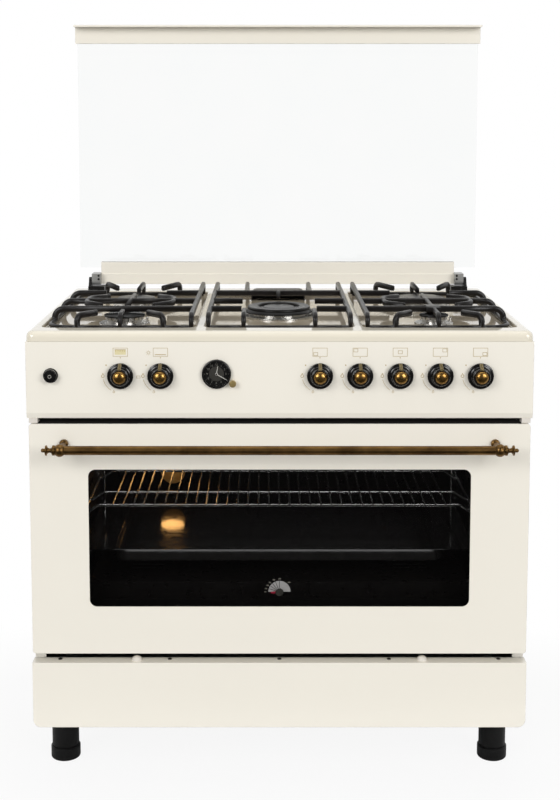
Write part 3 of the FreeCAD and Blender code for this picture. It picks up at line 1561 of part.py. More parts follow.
def pointer_body(hub, length, width, tip, thickness, bore, plane_offset):
    """A flat hand that points along +Z, with a round hub and a bore."""
    body = new_body("hand")
    pad(body, circle(new_sketch(body, "XZ", plane_offset), ZERO, ZERO, hub), thickness, "XZ", False)
    sketch = outline(new_sketch(body, "XZ", plane_offset), [
        (-width / 2, ZERO),
        (width / 2, ZERO),
        (tip / 2, length),
        (-tip / 2, length),
    ])
    pad(body, sketch, thickness, "XZ", False)
    pocket(body, circle(new_sketch(body, "XZ", plane_offset), ZERO, ZERO, bore), thickness + n.cut_overrun, "XZ", False)
    return body


hand_bore = n.clock_arbor_diameter + n.running_clearance * 2
for label, length, lift, angle in (("clock_hour_hand", n.hour_hand_length, n.hour_hand_lift, HOUR_HAND_ANGLE),
                                   ("clock_minute_hand", n.minute_hand_length, n.minute_hand_lift, MINUTE_HAND_ANGLE)):
    hand = pointer_body(n.hand_hub_diameter, length, n.hand_width, n.hand_tip_width, n.hand_thickness, hand_bore,
                        dial - lift)
    node(place(turned(hand, angle), clock_x, front, clock_z), label)

set_knob = new_body("set_knob_body")
set_r = n.set_knob_diameter / 2
set_stem_r = n.set_stem_diameter / 2
revolve(set_knob, [
    (ZERO, n.set_stem_length),
    (set_stem_r, n.set_stem_length),
    (set_stem_r, -n.set_knob_gap),
    (set_r, -n.set_knob_gap),
    (set_r, -n.set_knob_height),
    (ZERO, -n.set_knob_height - n.set_knob_gap, dome_bulge(set_r, n.set_knob_gap)),
], "XY")
node(place(set_knob, set_knob_x, front, set_z), "clock_set_knob")

# Ignition button
button = new_body("button_body")
button_r = n.button_diameter / 2
button_stem_r = n.button_stem_diameter / 2
button_face = -n.button_gap - n.button_proud
revolve(button, [
    (ZERO, n.button_stem_length),
    (button_stem_r, n.button_stem_length),
    (button_stem_r, -n.button_gap),
    (button_r, -n.button_gap),
    (button_r, button_face + n.button_dome),
    (ZERO, button_face, dome_bulge(button_r, n.button_dome)),
], "XY")
node(place(button, -button_x, front, control_z), "ignition_button")

# Oven door: a tray-shaped skin with the window, and a liner that closes it
door_half = half - n.door_side_inset
window_half = half - n.window_side_inset
window_low = door_low + n.window_low
window_top = door_top - n.window_top_inset
skin = new_body("skin")
pad(skin, rounded(new_sketch(skin, "XZ", front), -door_half, door_half, door_low, door_top, n.door_corner),
    n.door_panel_depth, "XZ")
pocket(skin, rounded(new_sketch(skin, "XZ", front + n.door_panel_depth), wall - door_half, door_half - wall,
                     door_low + wall, door_top - wall, n.door_corner - wall),
       n.door_panel_depth - wall, "XZ", False)
pocket(skin, rounded(new_sketch(skin, "XZ", front), -window_half, window_half, window_low, window_top,
                     n.window_corner), wall + n.cut_overrun, "XZ")
slot_reach = tongue_half + n.hinge_slot_gap
for side in BOTH:
    centre = hinge_x * side
    sketch = rectangle(new_sketch(skin, "XY", door_low), centre - slot_reach, centre + slot_reach,
                       hinge_y - tongue_rise - n.hinge_slot_gap, front + n.door_panel_depth + n.cut_overrun)
    pocket(skin, sketch, wall + n.cut_overrun, "XY")
node(skin, "door_panel")

liner = new_body("liner")
liner_front = front + n.door_panel_depth
liner_back = front + n.door_depth
pad(liner, rounded(new_sketch(liner, "XZ", liner_front), -door_half, door_half, door_low, door_top, n.door_corner),
    liner_back - liner_front, "XZ")
pocket(liner, rounded(new_sketch(liner, "XZ", liner_front), wall - door_half, door_half - wall,
                      door_low + wall, door_top - wall, n.door_corner - wall),
       liner_back - liner_front - n.frame_sheet, "XZ")
inner_half = window_half + n.inner_window_margin
pocket(liner, rounded(new_sketch(liner, "XZ", liner_back), -inner_half, inner_half, window_low, window_top,
                      n.window_corner), n.frame_sheet + n.cut_overrun, "XZ", False)
for side in BOTH:
    centre = hinge_x * side
    sketch = rectangle(new_sketch(liner, "XZ", liner_back), centre - slot_reach, centre + slot_reach,
                       door_low - n.cut_overrun, hinge_z + tongue_rise + n.hinge_slot_gap)
    pocket(liner, sketch, liner_back - liner_front + n.cut_overrun, "XZ", False)
node(liner, "door_liner")

# Door glass: an outer pane behind the window and an inner pane on the liner
margin = n.glass_margin
outer_glass_y = front + wall
inner_glass_back = liner_back - n.frame_sheet
panes = []
for pane_y in (outer_glass_y, inner_glass_back - n.glass_thickness):
    pane = new_body("pane")
    sketch = rounded(new_sketch(pane, "XZ", pane_y), -window_half - margin, window_half + margin,
                     window_low - margin, window_top + margin, n.window_corner)
    pad(pane, sketch, n.glass_thickness, "XZ")
    panes.append(pane)
node(group(panes), "door_glass")


# Door hinges: fixed tongues from receivers behind the frame, and forked brackets with pins in the door
def hinge_tongue(side):
    body = new_body("hinge_tongue")
    centre = hinge_x * side
    tongue_end = frame_back + n.hinge_receiver_length
    curve = -tongue_rise * CORNER_BULGE_SHARE
    sketch = outline(new_sketch(body, "YZ", centre - tongue_half), [
        (hinge_y, hinge_z - tongue_rise, curve),
        (tongue_end, hinge_z - tongue_rise),
        (tongue_end, hinge_z + tongue_rise),
        (hinge_y, hinge_z + tongue_rise),
        (hinge_y - tongue_rise, hinge_z, curve),
    ])
    pad(body, sketch, n.hinge_tongue_width, "YZ")
    receiver = n.hinge_receiver_width / 2
    sketch = rectangle(new_sketch(body, "YZ", centre - receiver), frame_back, tongue_end,
                       hinge_z - n.hinge_receiver_height / 2, hinge_z + n.hinge_receiver_height / 2)
    pad(body, sketch, n.hinge_receiver_width, "YZ")
    bore = n.hinge_pin_diameter + n.running_clearance * 2
    sketch = circle(new_sketch(body, "YZ", centre - tongue_half), hinge_y, hinge_z, bore)
    pocket(body, sketch, n.hinge_tongue_width + n.cut_overrun, "YZ")
    return body


def hinge_bracket(side):
    body = new_body("hinge_bracket")
    centre = hinge_x * side
    reach = tongue_half + n.hinge_cheek_gap
    low = door_low + wall
    high = low + n.hinge_bracket_height
    near = front + n.hinge_bracket_front
    far = front + n.door_panel_depth
    sketch = rectangle(new_sketch(body, "YZ", centre - reach - n.hinge_cheek), near, far, low, high)
    pad(body, sketch, (reach + n.hinge_cheek) * 2, "YZ")
    sketch = rectangle(new_sketch(body, "YZ", centre - reach), near - n.cut_overrun, far + n.cut_overrun,
                       low - n.cut_overrun, high - n.hinge_web_height)
    pocket(body, sketch, reach * 2, "YZ")
    sketch = circle(new_sketch(body, "YZ", centre - reach - n.hinge_cheek), hinge_y, hinge_z, n.hinge_pin_diameter)
    pad(body, sketch, (reach + n.hinge_cheek) * 2, "YZ")
    return body


node(group([hinge_tongue(side) for side in BOTH]), "door_hinges")
node(group([hinge_bracket(side) for side in BOTH]), "door_hinge_brackets")

# Handle: a bar between two turned ends that stand on the door with posts
handle_y = front - n.handle_standoff
handle_z = door_top - n.handle_drop
handle_x = half - n.handle_side_inset
bar_half = handle_x - n.handle_ball_length / 2
bar = rod("X", n.handle_bar_diameter, bar_half * 2, -bar_half, handle_y, handle_z, "bar")
node(bar, "handle_bar")


def handle_end(side):
    body = new_body("handle_end")
    ball = n.handle_ball_length / 2
    face = n.handle_ball_face / 2
    ring = n.handle_ring_diameter / 2
    ring_end = ball + n.handle_ring_length
    neck = n.handle_neck_diameter / 2
    crown = n.handle_crown_diameter / 2
    crown_end = ring_end + n.handle_crown_length
    rim = n.handle_crown_rim
    tip = n.handle_tip_diameter / 2
    tip_end = crown_end + n.handle_tip_length
    swell = n.handle_ball_diameter / 2 - face
    flare = n.handle_crown_rim
    points = [
        (-ball, ZERO),
        (-ball, face),
        (ball, face, swell * side),
        (ball, ring),
        (ring_end - rim, ring),
        (ring_end, neck),
        (crown_end - rim, crown, -flare * side),
        (crown_end, crown),
        (crown_end, tip),
        (tip_end - tip, tip),
        (tip_end, ZERO, dome_bulge(tip, tip) * side),
    ]
    revolve(body, [(p[0] * side,) + tuple(p[1:]) for p in points], "XY", "H")
    stem = n.handle_post_diameter / 2
    rosette = n.handle_rosette_diameter / 2
    foot = n.handle_standoff - n.handle_rosette_height
    revolve(body, [
        (ZERO, ZERO),
        (stem, ZERO),
        (stem, foot - n.handle_rosette_height),
        (rosette, foot, -n.handle_crown_rim / 2),
        (rosette, n.handle_standoff),
        (ZERO, n.handle_standoff),
    ], "XY")
    return place(body, handle_x * side, handle_y, handle_z)


node(group([handle_end(side) for side in BOTH]), "handle_ends")

# Thermometer between the panes: half-round dial, hub, probe and needle
dial_z = window_low + n.dial_rise
dial_y = front + n.dial_setback
gauge = new_body("gauge")
dial_curve = -n.dial_radius * CORNER_BULGE_SHARE
pad(gauge, outline(new_sketch(gauge, "XZ", dial_y), [
    (-n.dial_radius, ZERO, dial_curve),
    (n.dial_radius, ZERO),
    (ZERO, n.dial_radius, dial_curve),
]), n.dial_thickness, "XZ")
glass_back = outer_glass_y + n.glass_thickness
spigot = circle(new_sketch(gauge, "XZ", dial_y), ZERO, ZERO, n.dial_spigot_diameter)
pad(gauge, spigot, dial_y - glass_back, "XZ", False)
hub = circle(new_sketch(gauge, "XZ", glass_back), ZERO, ZERO, n.dial_hub_diameter)
pad(gauge, hub, n.dial_hub_height, "XZ")
probe = circle(new_sketch(gauge, "XZ", dial_y), ZERO, ZERO, n.dial_probe_diameter)
pad(gauge, probe, inner_glass_back - n.glass_thickness - dial_y, "XZ")
node(place(gauge, ZERO, ZERO, dial_z), "thermometer_case")
needle = pointer_body(n.needle_hub_diameter, n.needle_length, n.needle_width, n.needle_tip_width, n.needle_thickness,
                      n.dial_spigot_diameter + n.running_clearance * 2, dial_y - n.needle_lift)
node(place(turned(needle, NEEDLE_ANGLE), ZERO, ZERO, dial_z), "thermometer_needle")

# Storage drawer: a folded front and an open box on the runners
face = new_body("drawer_face")
face_half = half - n.drawer_front_inset
corner = n.drawer_front_corner


def drawer_outline(sketch, grow, round_size):
    low = n.leg_height + grow
    edge = face_half - grow
    curve = -round_size * CORNER_BULGE_SHARE
    return outline(sketch, [
        (round_size - edge, low, curve),
        (edge - round_size, low),
        (edge, low + round_size, curve),
        (edge, drawer_top - grow),
        (-edge, drawer_top - grow),
        (-edge, low + round_size),
    ])


pad(face, drawer_outline(new_sketch(face, "XZ", front), ZERO, corner), n.drawer_front_depth, "XZ")
pocket(face, drawer_outline(new_sketch(face, "XZ", drawer_back_face), wall, corner - wall),
       n.drawer_front_depth - wall, "XZ", False)
node(face, "drawer_front")
store = new_body("drawer_store")
store_low = pan_top + n.runner_height + n.seat_clearance
store_back = back - n.drawer_box_rear_gap
pad(store, rounded(new_sketch(store, "XY", store_low), -store_half, store_half, drawer_back_face, store_back,
                   n.drawer_box_corner), n.drawer_box_height, "XY")
pocket(store, rounded(new_sketch(store, "XY", store_low + n.drawer_box_height), wall - store_half, store_half - wall,
                      drawer_back_face + wall, store_back - wall, n.drawer_box_corner - wall),
       n.drawer_box_height - wall, "XY", False)
pad(store, drawer_outline(new_sketch(store, "XZ", drawer_back_face), ZERO, corner), wall, "XZ")
node(store, "drawer_box")

# Lid, raised: glass between a hinge rail and a top trim with a turned lip
pivot_y = back - n.lid_pivot_gap
pivot_z = hob_z + n.lid_pivot_rise
glass_y = pivot_y + n.lid_glass_offset
glass_end = glass_y + n.lid_glass_thickness
lid_top = hob_z + n.lid_height
rail_low = hob_z + n.lid_rail_rise
rail_top = rail_low + n.lid_rail_height
trim_low = lid_top - n.lid_trim_height
glass_low = rail_top - n.lid_rail_lap
glass_top = trim_low + n.lid_trim_lap
glass_half = half - n.lid_glass_side_inset
trim_half = half - n.lid_trim_side_inset
lid_rail_half = half - n.lid_rail_side_inset
node(box(-glass_half, glass_half, glass_y, glass_end, glass_low, glass_top, "lid_pane"), "lid_glass")
trim = new_body("trim")
trim_front = glass_y - n.lid_trim_front
trim_back = glass_end + n.lid_trim_back
lip_low = lid_top - n.lid_lip_thickness
lip_front = glass_y - n.lid_lip_reach
pad(trim, outline(new_sketch(trim, "YZ", -trim_half), [
    (trim_front, trim_low),
    (glass_y, trim_low),
    (glass_y, glass_top),
    (glass_end, glass_top),
    (glass_end, trim_low),
    (trim_back, trim_low),
    (trim_back, lid_top),
    (lip_front, lid_top),
    (lip_front, lip_low),
    (trim_front, lip_low),
]), trim_half * 2, "YZ")
node(trim, "lid_top_trim")
hinge_rail = new_body("hinge_rail")
rail_front = glass_y - n.lid_rail_front
rail_back = glass_end + n.lid_rail_back
step_z = rail_low + n.lid_rail_step_height
pad(hinge_rail, outline(new_sketch(hinge_rail, "YZ", -lid_rail_half), [
    (rail_front - n.lid_rail_step, rail_low),
    (rail_back, rail_low),
    (rail_back, rail_top),
    (glass_end, rail_top),
    (glass_end, glass_low),
    (glass_y, glass_low),
    (glass_y, rail_top),
    (rail_front, rail_top),
    (rail_front, step_z),
    (rail_front - n.lid_rail_step, step_z),
]), lid_rail_half * 2, "YZ")
node(hinge_rail, "lid_hinge_rail")


def lid_arm(side):
    body = new_body("lid_arm")
    near = lid_rail_half if side > 0 else -lid_rail_half - n.lid_arm_width
    r = n.lid_arm_radius
    top = pivot_z + n.lid_arm_height
    curve = -r * CORNER_BULGE_SHARE
    sketch = outline(new_sketch(body, "YZ", near), [
        (pivot_y + r, pivot_z, curve),
        (rail_back, pivot_z + r),
        (rail_back, top),
        (pivot_y - r, top),
        (pivot_y - r, pivot_z),
        (pivot_y, pivot_z - r, curve),
    ])
    pad(body, sketch, n.lid_arm_width, "YZ")
    bore = n.lid_pin_diameter + n.running_clearance * 2
    sketch = circle(new_sketch(body, "YZ", near), pivot_y, pivot_z, bore)
    pocket(body, sketch, n.lid_arm_width + n.cut_overrun, "YZ")
    return body


def lid_base(side):
    """A block on the hob with an upright ear, which carries the hinge pin."""
    body = new_body("lid_base")
    arm_end = lid_rail_half + n.lid_arm_width
    ear_start = arm_end + n.lid_ear_gap
    ear_end = ear_start + n.lid_ear_width
    inner = lid_rail_half - n.lid_base_inner
    near = inner if side > 0 else -ear_end
    y0 = pivot_y - n.lid_base_front
    y1 = pivot_y + n.lid_base_back
    sketch = rectangle(new_sketch(body, "YZ", near), y0, y1, hob_z, hob_z + n.lid_base_height)
    pad(body, sketch, ear_end - inner, "YZ")
    r = n.lid_arm_radius
    curve = -r * CORNER_BULGE_SHARE
    near = ear_start if side > 0 else -ear_end
    sketch = outline(new_sketch(body, "YZ", near), [
        (y0, hob_z),
        (y1, hob_z),
        (pivot_y + r, pivot_z),
        (pivot_y, pivot_z + r, curve),
        (pivot_y - r, pivot_z, curve),
    ])
    pad(body, sketch, n.lid_ear_width, "YZ")
    pin = n.lid_arm_width + n.lid_ear_gap + n.lid_ear_width - n.lid_ear_gap
    near = lid_rail_half + n.lid_ear_gap if side > 0 else -ear_end
    sketch = circle(new_sketch(body, "YZ", near), pivot_y, pivot_z, n.lid_pin_diameter)
    pad(body, sketch, pin, "YZ")
    return body


node(group([lid_arm(side) for side in BOTH]), "lid_hinge_arms")
node(group([lid_base(side) for side in BOTH]), "lid_hinge_bases")

# Check every object and every part before anything is written
doc.recompute()
for item in doc.Objects:
    if "Invalid" in item.State or "Error" in item.State:
        raise RuntimeError("%s (%s) did not compute: %s" % (item.Label, item.Name, item.State))
os.makedirs("parts", exist_ok=True)
for item in NODES:
    shape = item.Shape
    if shape.isNull() or not shape.isValid() or not shape.Solids:
        raise RuntimeError("%s has no valid solid" % item.Label)
for item in NODES:
    item.Shape.exportStep("parts/%s.step" % item.Label)
print("%d parts" % len(NODES))
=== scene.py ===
"""Looks of a 90 cm free-standing gas cooker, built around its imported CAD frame."""

import json
import logging
import math
from dataclasses import dataclass
from enum import Enum
from typing import ClassVar, Iterable, Sequence

import bmesh
import bpy
from mathutils import Matrix, Vector

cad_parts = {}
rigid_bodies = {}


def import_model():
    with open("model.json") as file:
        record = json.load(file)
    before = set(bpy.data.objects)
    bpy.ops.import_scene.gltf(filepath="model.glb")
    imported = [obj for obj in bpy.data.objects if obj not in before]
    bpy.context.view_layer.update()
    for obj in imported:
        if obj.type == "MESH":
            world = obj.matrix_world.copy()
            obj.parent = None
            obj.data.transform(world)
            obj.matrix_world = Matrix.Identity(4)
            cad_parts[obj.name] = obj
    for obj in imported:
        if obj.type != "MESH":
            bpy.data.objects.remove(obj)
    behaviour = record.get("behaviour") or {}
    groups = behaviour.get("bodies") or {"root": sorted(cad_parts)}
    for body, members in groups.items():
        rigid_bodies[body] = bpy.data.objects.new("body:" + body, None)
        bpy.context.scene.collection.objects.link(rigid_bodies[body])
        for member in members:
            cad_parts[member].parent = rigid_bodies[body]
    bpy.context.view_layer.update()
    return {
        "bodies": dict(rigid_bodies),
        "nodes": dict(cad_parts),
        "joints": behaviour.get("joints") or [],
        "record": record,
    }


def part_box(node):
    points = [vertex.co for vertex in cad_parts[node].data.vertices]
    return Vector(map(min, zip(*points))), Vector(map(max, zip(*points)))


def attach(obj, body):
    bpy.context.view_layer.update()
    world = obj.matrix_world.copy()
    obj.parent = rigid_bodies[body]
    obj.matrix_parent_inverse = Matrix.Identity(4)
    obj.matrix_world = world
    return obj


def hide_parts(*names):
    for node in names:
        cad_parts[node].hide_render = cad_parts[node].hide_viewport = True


LOG = logging.getLogger("cooker")
MM_IN_METRE = 1000.0
BOTH_SIDES = (-1.0, 1.0)

Rgb = tuple[float, float, float]
Place = tuple[float, float, float]
Point = tuple[float, float]
Span = tuple[float, float]
Outline = Sequence[Point]
Frame = dict[str, object]
Socket = bpy.types.NodeSocket
Wiring = dict[str | int, object]


def paint(red: int, green: int, blue: int) -> Rgb:
    """Turns a display colour into the linear colour that a shader takes.

    Args:
        red: Red from 0 to 255.
        green: Green from 0 to 255.
        blue: Blue from 0 to 255.

    Returns:
        The linear red, green and blue.
    """
    def channel(value: int) -> float:
        """Undoes the display curve of one channel."""
        share = value / 255
        return share / 12.92 if share <= 0.04045 else ((share + 0.055) / 1.055) ** 2.4

    return channel(red), channel(green), channel(blue)


def metres(outline: Outline) -> list[Point]:
    """Turns an outline in millimetres into metres."""
    return [(first / MM_IN_METRE, second / MM_IN_METRE) for first, second in outline]


def on_dial(centre: Point, radius: float, angle: float) -> Point:
    """Finds a point round a dial.

    Args:
        centre: Middle of the dial in x and z.
        radius: Distance from the middle.
        angle: Degrees clockwise from the top.

    Returns:
        The point's x and z.
    """
    turn = math.radians(angle)
    return centre[0] + radius * math.sin(turn), centre[1] + radius * math.cos(turn)


def dome(radius: float, foot: float, rise: float, steps: int = 8) -> list[Point]:
    """Gives the quarter round of a dome.

    Args:
        radius: Radius of the rim.
        foot: Height of the rim.
        rise: Height of the top over the rim.
        steps: Number of facets from the rim to the top.

    Returns:
        Radius and height of each ring, from the rim to the top.
    """
    angles = [math.radians(90 * step / steps) for step in range(steps)]
    rings = [(radius * math.cos(angle), foot + rise * math.sin(angle)) for angle in angles]
    return rings + [(0.0, foot + rise)]


def tilted(angle: float) -> Place:
    """Gives the turns of a light or camera that is tilted that many degrees about X."""
    return math.radians(angle), 0.0, 0.0


def axis_of(node: str) -> Point:
    """Gives the x and z of a CAD node's middle."""
    low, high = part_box(node)
    return (low.x + high.x) / 2, (low.z + high.z) / 2


class Grain(Enum):
    """Direction in which a metal was drawn or brushed, as stretches of its noise."""

    NONE = (1.0, 1.0, 1.0)
    ALONG_X = (0.04, 1.0, 1.0)


class LightForm(Enum):
    """Outline of an area light."""

    PANEL = "RECTANGLE"
    OVAL = "ELLIPSE"


class Facing(Enum):
    """Directions in which a turned piece can point."""

    FRONT = Matrix(((1, 0, 0), (0, 0, -1), (0, 1, 0))).to_4x4()
    BACK = Matrix(((-1, 0, 0), (0, 0, 1), (0, 1, 0))).to_4x4()
    UP = Matrix.Identity(4)

    def at(self, x: float, y: float, z: float) -> Matrix:
        """Gives the matrix from the axis of a turned piece to its place in the frame."""
        return Matrix.Translation((x, y, z)) @ self.value


class Graph:
    """Node graph of a material or of the room."""

    scalar_results: ClassVar[tuple[str, ...]] = ("DOT_PRODUCT", "LENGTH")

    def __init__(self, tree: bpy.types.NodeTree) -> None:
        """Keeps the tree that gets the nodes."""
        self.tree = tree

    def wire(self, made: bpy.types.Node, inputs: Wiring) -> None:
        """Sets or links the inputs of a node.

        Args:
            made: The node.
            inputs: A value or a socket for each input's name or number.
        """
        for key, value in inputs.items():
            if isinstance(value, Socket):
                self.tree.links.new(value, made.inputs[key])
            else:
                made.inputs[key].default_value = value

    def node(self, kind: str, inputs: Wiring | None = None, **settings: object) -> bpy.types.Node:
        """Adds a node.

        Args:
            kind: Blender's name of the node type, after the words ShaderNode.
            inputs: A value or a socket for each input's name or number.
            **settings: Properties of the node.

        Returns:
            The new node.
        """
        made = self.tree.nodes.new(f"ShaderNode{kind}")
        for key, value in settings.items():
            setattr(made, key, value)
        self.wire(made, inputs or {})
        return made

    def combine(self, operation: str, first: object, second: object) -> Socket:
        """Works out one value from two values or sockets."""
        return self.node("Math", {0: first, 1: second}, operation=operation).outputs["Value"]

    def vector(self, operation: str, *inputs: object) -> Socket:
        """Works out a vector, or the one value that some operations give.

        Args:
            operation: Blender's name of the operation.
            *inputs: Vectors or sockets.

        Returns:
            The result.
        """
        made = self.node("VectorMath", dict(enumerate(inputs)), operation=operation)
        return made.outputs["Value" if operation in self.scalar_results else "Vector"]

    def level(self, factor: Socket, low: float, high: float, span: Span = (0.3, 0.7)) -> Socket:
        """Maps a factor within a span onto low..high.

        Args:
            factor: The incoming value.
            low: Result at the start of the span.
            high: Result at its end.
            span: Where the range starts and ends.

        Returns:
            The mapped value.
        """
        wiring = {"Value": factor, "From Min": span[0], "From Max": span[1], "To Min": low, "To Max": high}
        return self.node("MapRange", wiring).outputs["Result"]

    def looked_at(self) -> Socket:
        """Gives 1 for rays that come from the camera, straight or through glass."""
        rays = self.node("LightPath").outputs
        return self.combine("MAXIMUM", rays["Is Camera Ray"], rays["Is Transmission Ray"])


class Surface(Graph):
    """Node graph of one material around its Principled shader."""

    edge_span: ClassVar[Span] = (0.78, 0.98)
    rounding_samples: ClassVar[int] = 4

    def __init__(self, name: str) -> None:
        """Starts a material with that name.

        Args:
            name: Name of the material.
        """
        self.material = bpy.data.materials.new(name)
        self.material.use_nodes = True
        super().__init__(self.material.node_tree)
        self.shader = self.tree.nodes["Principled BSDF"]
        self.place = self.node("TexCoord").outputs["Object"]

    def finish(self, inputs: Wiring) -> bpy.types.Material:
        """Sets or links inputs of the Principled shader, and gives the material."""
        self.wire(self.shader, inputs)
        return self.material

    def noise(self, scale: float, detail: float = 3.0, grain: Grain = Grain.NONE) -> Socket:
        """Adds a noise over the piece.

        Args:
            scale: Number of grains in a metre.
            detail: Number of finer layers.
            grain: Direction in which the noise is drawn out.

        Returns:
            The noise, from 0 to 1.
        """
        place = self.place
        if grain is not Grain.NONE:
            place = self.node("Mapping", {"Vector": place, "Scale": grain.value}).outputs["Vector"]
        return self.node("TexNoise", {"Vector": place, "Scale": scale, "Detail": detail}).outputs["Fac"]

    def cells(self, scale: float, output: str = "Distance") -> Socket:
        """Adds a pattern of irregular cells, that many in a metre, and gives one of its results."""
        return self.node("TexVoronoi", {"Vector": self.place, "Scale": scale}).outputs[output]

    def tone(self, factor: Socket, shade: Rgb, colour: Rgb, span: Span = (0.3, 0.7)) -> Socket:
        """Turns a factor into a colour.

        Args:
            factor: Value from 0 to 1.
            shade: Linear colour at the start of the span.
            colour: Linear colour at its end.
            span: Where the change starts and ends.

        Returns:
            The colour.
        """
        made = self.node("ValToRGB", {"Fac": factor})
        for element, place, tint in zip(made.color_ramp.elements, span, (shade, colour)):
            element.position = place
            element.color = (*tint, 1.0)
        return made.outputs["Color"]

    def blend(self, factor: Socket, first: Socket | Rgb, second: Socket | Rgb) -> Socket:
        """Mixes two colours.

        Args:
            factor: Share of the second colour.
            first: A linear colour or a socket.
            second: A linear colour or a socket.

        Returns:
            The mixed colour.
        """
        first, second = [tint if isinstance(tint, Socket) else (*tint, 1.0) for tint in (first, second)]
        return self.node("Mix", {0: factor, 6: first, 7: second}, data_type="RGBA").outputs[2]

    def rounding(self, radius: float) -> Socket:
        """Gives a normal that looks rounded along the piece's edges."""
        return self.node("Bevel", {"Radius": radius}, samples=self.rounding_samples).outputs["Normal"]

    def edges(self, radius: float) -> Socket:
        """Finds the edges of the piece.

        Args:
            radius: How far the edges reach.

        Returns:
            A mask that is 1 on edges and 0 on flat faces.
        """
        plain = self.node("NewGeometry").outputs["Normal"]
        likeness = self.vector("DOT_PRODUCT", self.rounding(radius), plain)
        return self.level(likeness, 1.0, 0.0, self.edge_span)

    def bump(self, height: Socket, strength: float, distance: float, under: Socket | None = None) -> Socket:
        """Adds a bump.

        Args:
            height: Height of the surface from 0 to 1.
            strength: How strong the bump is.
            distance: Height of the relief in metres.
            under: A normal that lies under the bump.

        Returns:
            The bumped normal.
        """
        wiring = {"Height": height, "Strength": strength, "Distance": distance}
        if under is not None:
            wiring["Normal"] = under
        return self.node("Bump", wiring).outputs["Normal"]


@dataclass(frozen=True)
class Finish:
    """A surface finish, which makes one material."""

    name: str

    def make(self) -> bpy.types.Material:
        """Makes the finish's material."""
        raise NotImplementedError


@dataclass(frozen=True)
class Enamel(Finish):
    """Stoved enamel with a slight orange peel, and thinner along its edges."""

    colour: Rgb
    shade: Rgb
    edge: Rgb
    smooth: float = 0.2
    dull: float = 0.3
    coat: float = 0.3
    coat_roughness: float = 0.06
    specular: float = 0.5
    rounding: float = 0.0016
    peel: float = 0.05
    peel_scale: float = 420.0
    peel_height: float = 0.0004
    cloud_scale: float = 4.0
    cloud_span: Span = (0.35, 0.65)
    gloss_scale: float = 12.0

    def make(self) -> bpy.types.Material:
        """Makes the enamel's material.

        Returns:
            The material.
        """
        graph = Surface(self.name)
        cloud = graph.noise(self.cloud_scale, detail=4.0)
        colour = graph.tone(cloud, self.shade, self.colour, self.cloud_span)
        peel = graph.noise(self.peel_scale, detail=2.0)
        return graph.finish({
            "Base Color": graph.blend(graph.edges(self.rounding), colour, self.edge),
            "Roughness": graph.level(graph.noise(self.gloss_scale), self.smooth, self.dull),
            "Specular IOR Level": self.specular,
            "Normal": graph.bump(peel, self.peel, self.peel_height, graph.rounding(self.rounding)),
            "Coat Weight": self.coat,
            "Coat Roughness": self.coat_roughness,
        })


@dataclass(frozen=True)
class BowlEnamel(Finish):
    """Glossy hob enamel, with shade painted into its colour in the bowls."""

    colour: Rgb
    shade: Rgb
    bowl: Rgb
    bowl_shade: Rgb
    middle: Place
    reach: Place
    border: float = 0.004
    smooth: float = 0.04
    dull: float = 0.07
    coat: float = 0.3
    coat_roughness: float = 0.04
    rounding: float = 0.002
    peel: float = 0.012
    peel_scale: float = 260.0
    peel_height: float = 0.0004
    cloud_scale: float = 7.0
    cloud_span: Span = (0.35, 0.65)

    def make(self) -> bpy.types.Material:
        """Makes the hob's material.

        Returns:
            The material.
        """
        graph = Surface(self.name)
        cloud = graph.noise(self.cloud_scale)
        flat = graph.tone(cloud, self.shade, self.colour, self.cloud_span)
        deep = graph.tone(cloud, self.bowl_shade, self.bowl)
        peel = graph.noise(self.peel_scale, detail=2.0)
        return graph.finish({
            # Painted shade: deep in the bowls the cream gives way to a darker tan.
            "Base Color": graph.blend(self.inside(graph), flat, deep),
            "Roughness": graph.level(cloud, self.smooth, self.dull),
            "Normal": graph.bump(peel, self.peel, self.peel_height, graph.rounding(self.rounding)),
            "Coat Weight": self.coat,
            "Coat Roughness": self.coat_roughness,
        })

    def inside(self, graph: Surface) -> Socket:
        """Finds the bowls, where shade is painted into the colour.

        Args:
            graph: The material's graph.

        Returns:
            A mask that is 1 deep in the bowls and 0 on the borders and the skirt.
        """
        place = graph.node("NewGeometry").outputs["Position"]
        away = graph.vector("ABSOLUTE", graph.vector("SUBTRACT", place, self.middle))
        split = graph.node("SeparateXYZ", {"Vector": away}).outputs
        across, along, up = [graph.level(split[axis], 1.0, 0.0, (reach - self.border, reach))
                             for axis, reach in zip("XYZ", self.reach)]
        return graph.combine("MULTIPLY", graph.combine("MULTIPLY", across, along), up)


@dataclass(frozen=True)
class SpeckledEnamel(Finish):
    """Dark oven enamel with pale specks."""

    colour: Rgb
    speck: Rgb
    roughness: float = 0.25
    uneven: float = 0.12
    gloss_scale: float = 60.0
    coat: float = 0.2
    speck_scale: float = 620.0
    speck_span: Span = (0.12, 0.2)
    patch_scale: float = 700.0
    patch_span: Span = (0.52, 0.6)
    rounding: float = 0.0015
    peel: float = 0.08
    peel_scale: float = 300.0
    peel_height: float = 0.0004

    def make(self) -> bpy.types.Material:
        """Makes the speckled material.

        Returns:
            The material.
        """
        graph = Surface(self.name)
        specks = graph.level(graph.cells(self.speck_scale), 1.0, 0.0, self.speck_span)
        patches = graph.level(graph.noise(self.patch_scale, detail=1.0), 0.0, 1.0, self.patch_span)
        pale = graph.combine("MULTIPLY", specks, patches)
        dull = self.roughness + self.uneven
        peel = graph.noise(self.peel_scale, detail=2.0)
        return graph.finish({
            "Base Color": graph.blend(pale, self.colour, self.speck),
            "Roughness": graph.level(graph.noise(self.gloss_scale), self.roughness, dull),
            "Normal": graph.bump(peel, self.peel, self.peel_height, graph.rounding(self.rounding)),
            "Coat Weight": self.coat,
        })


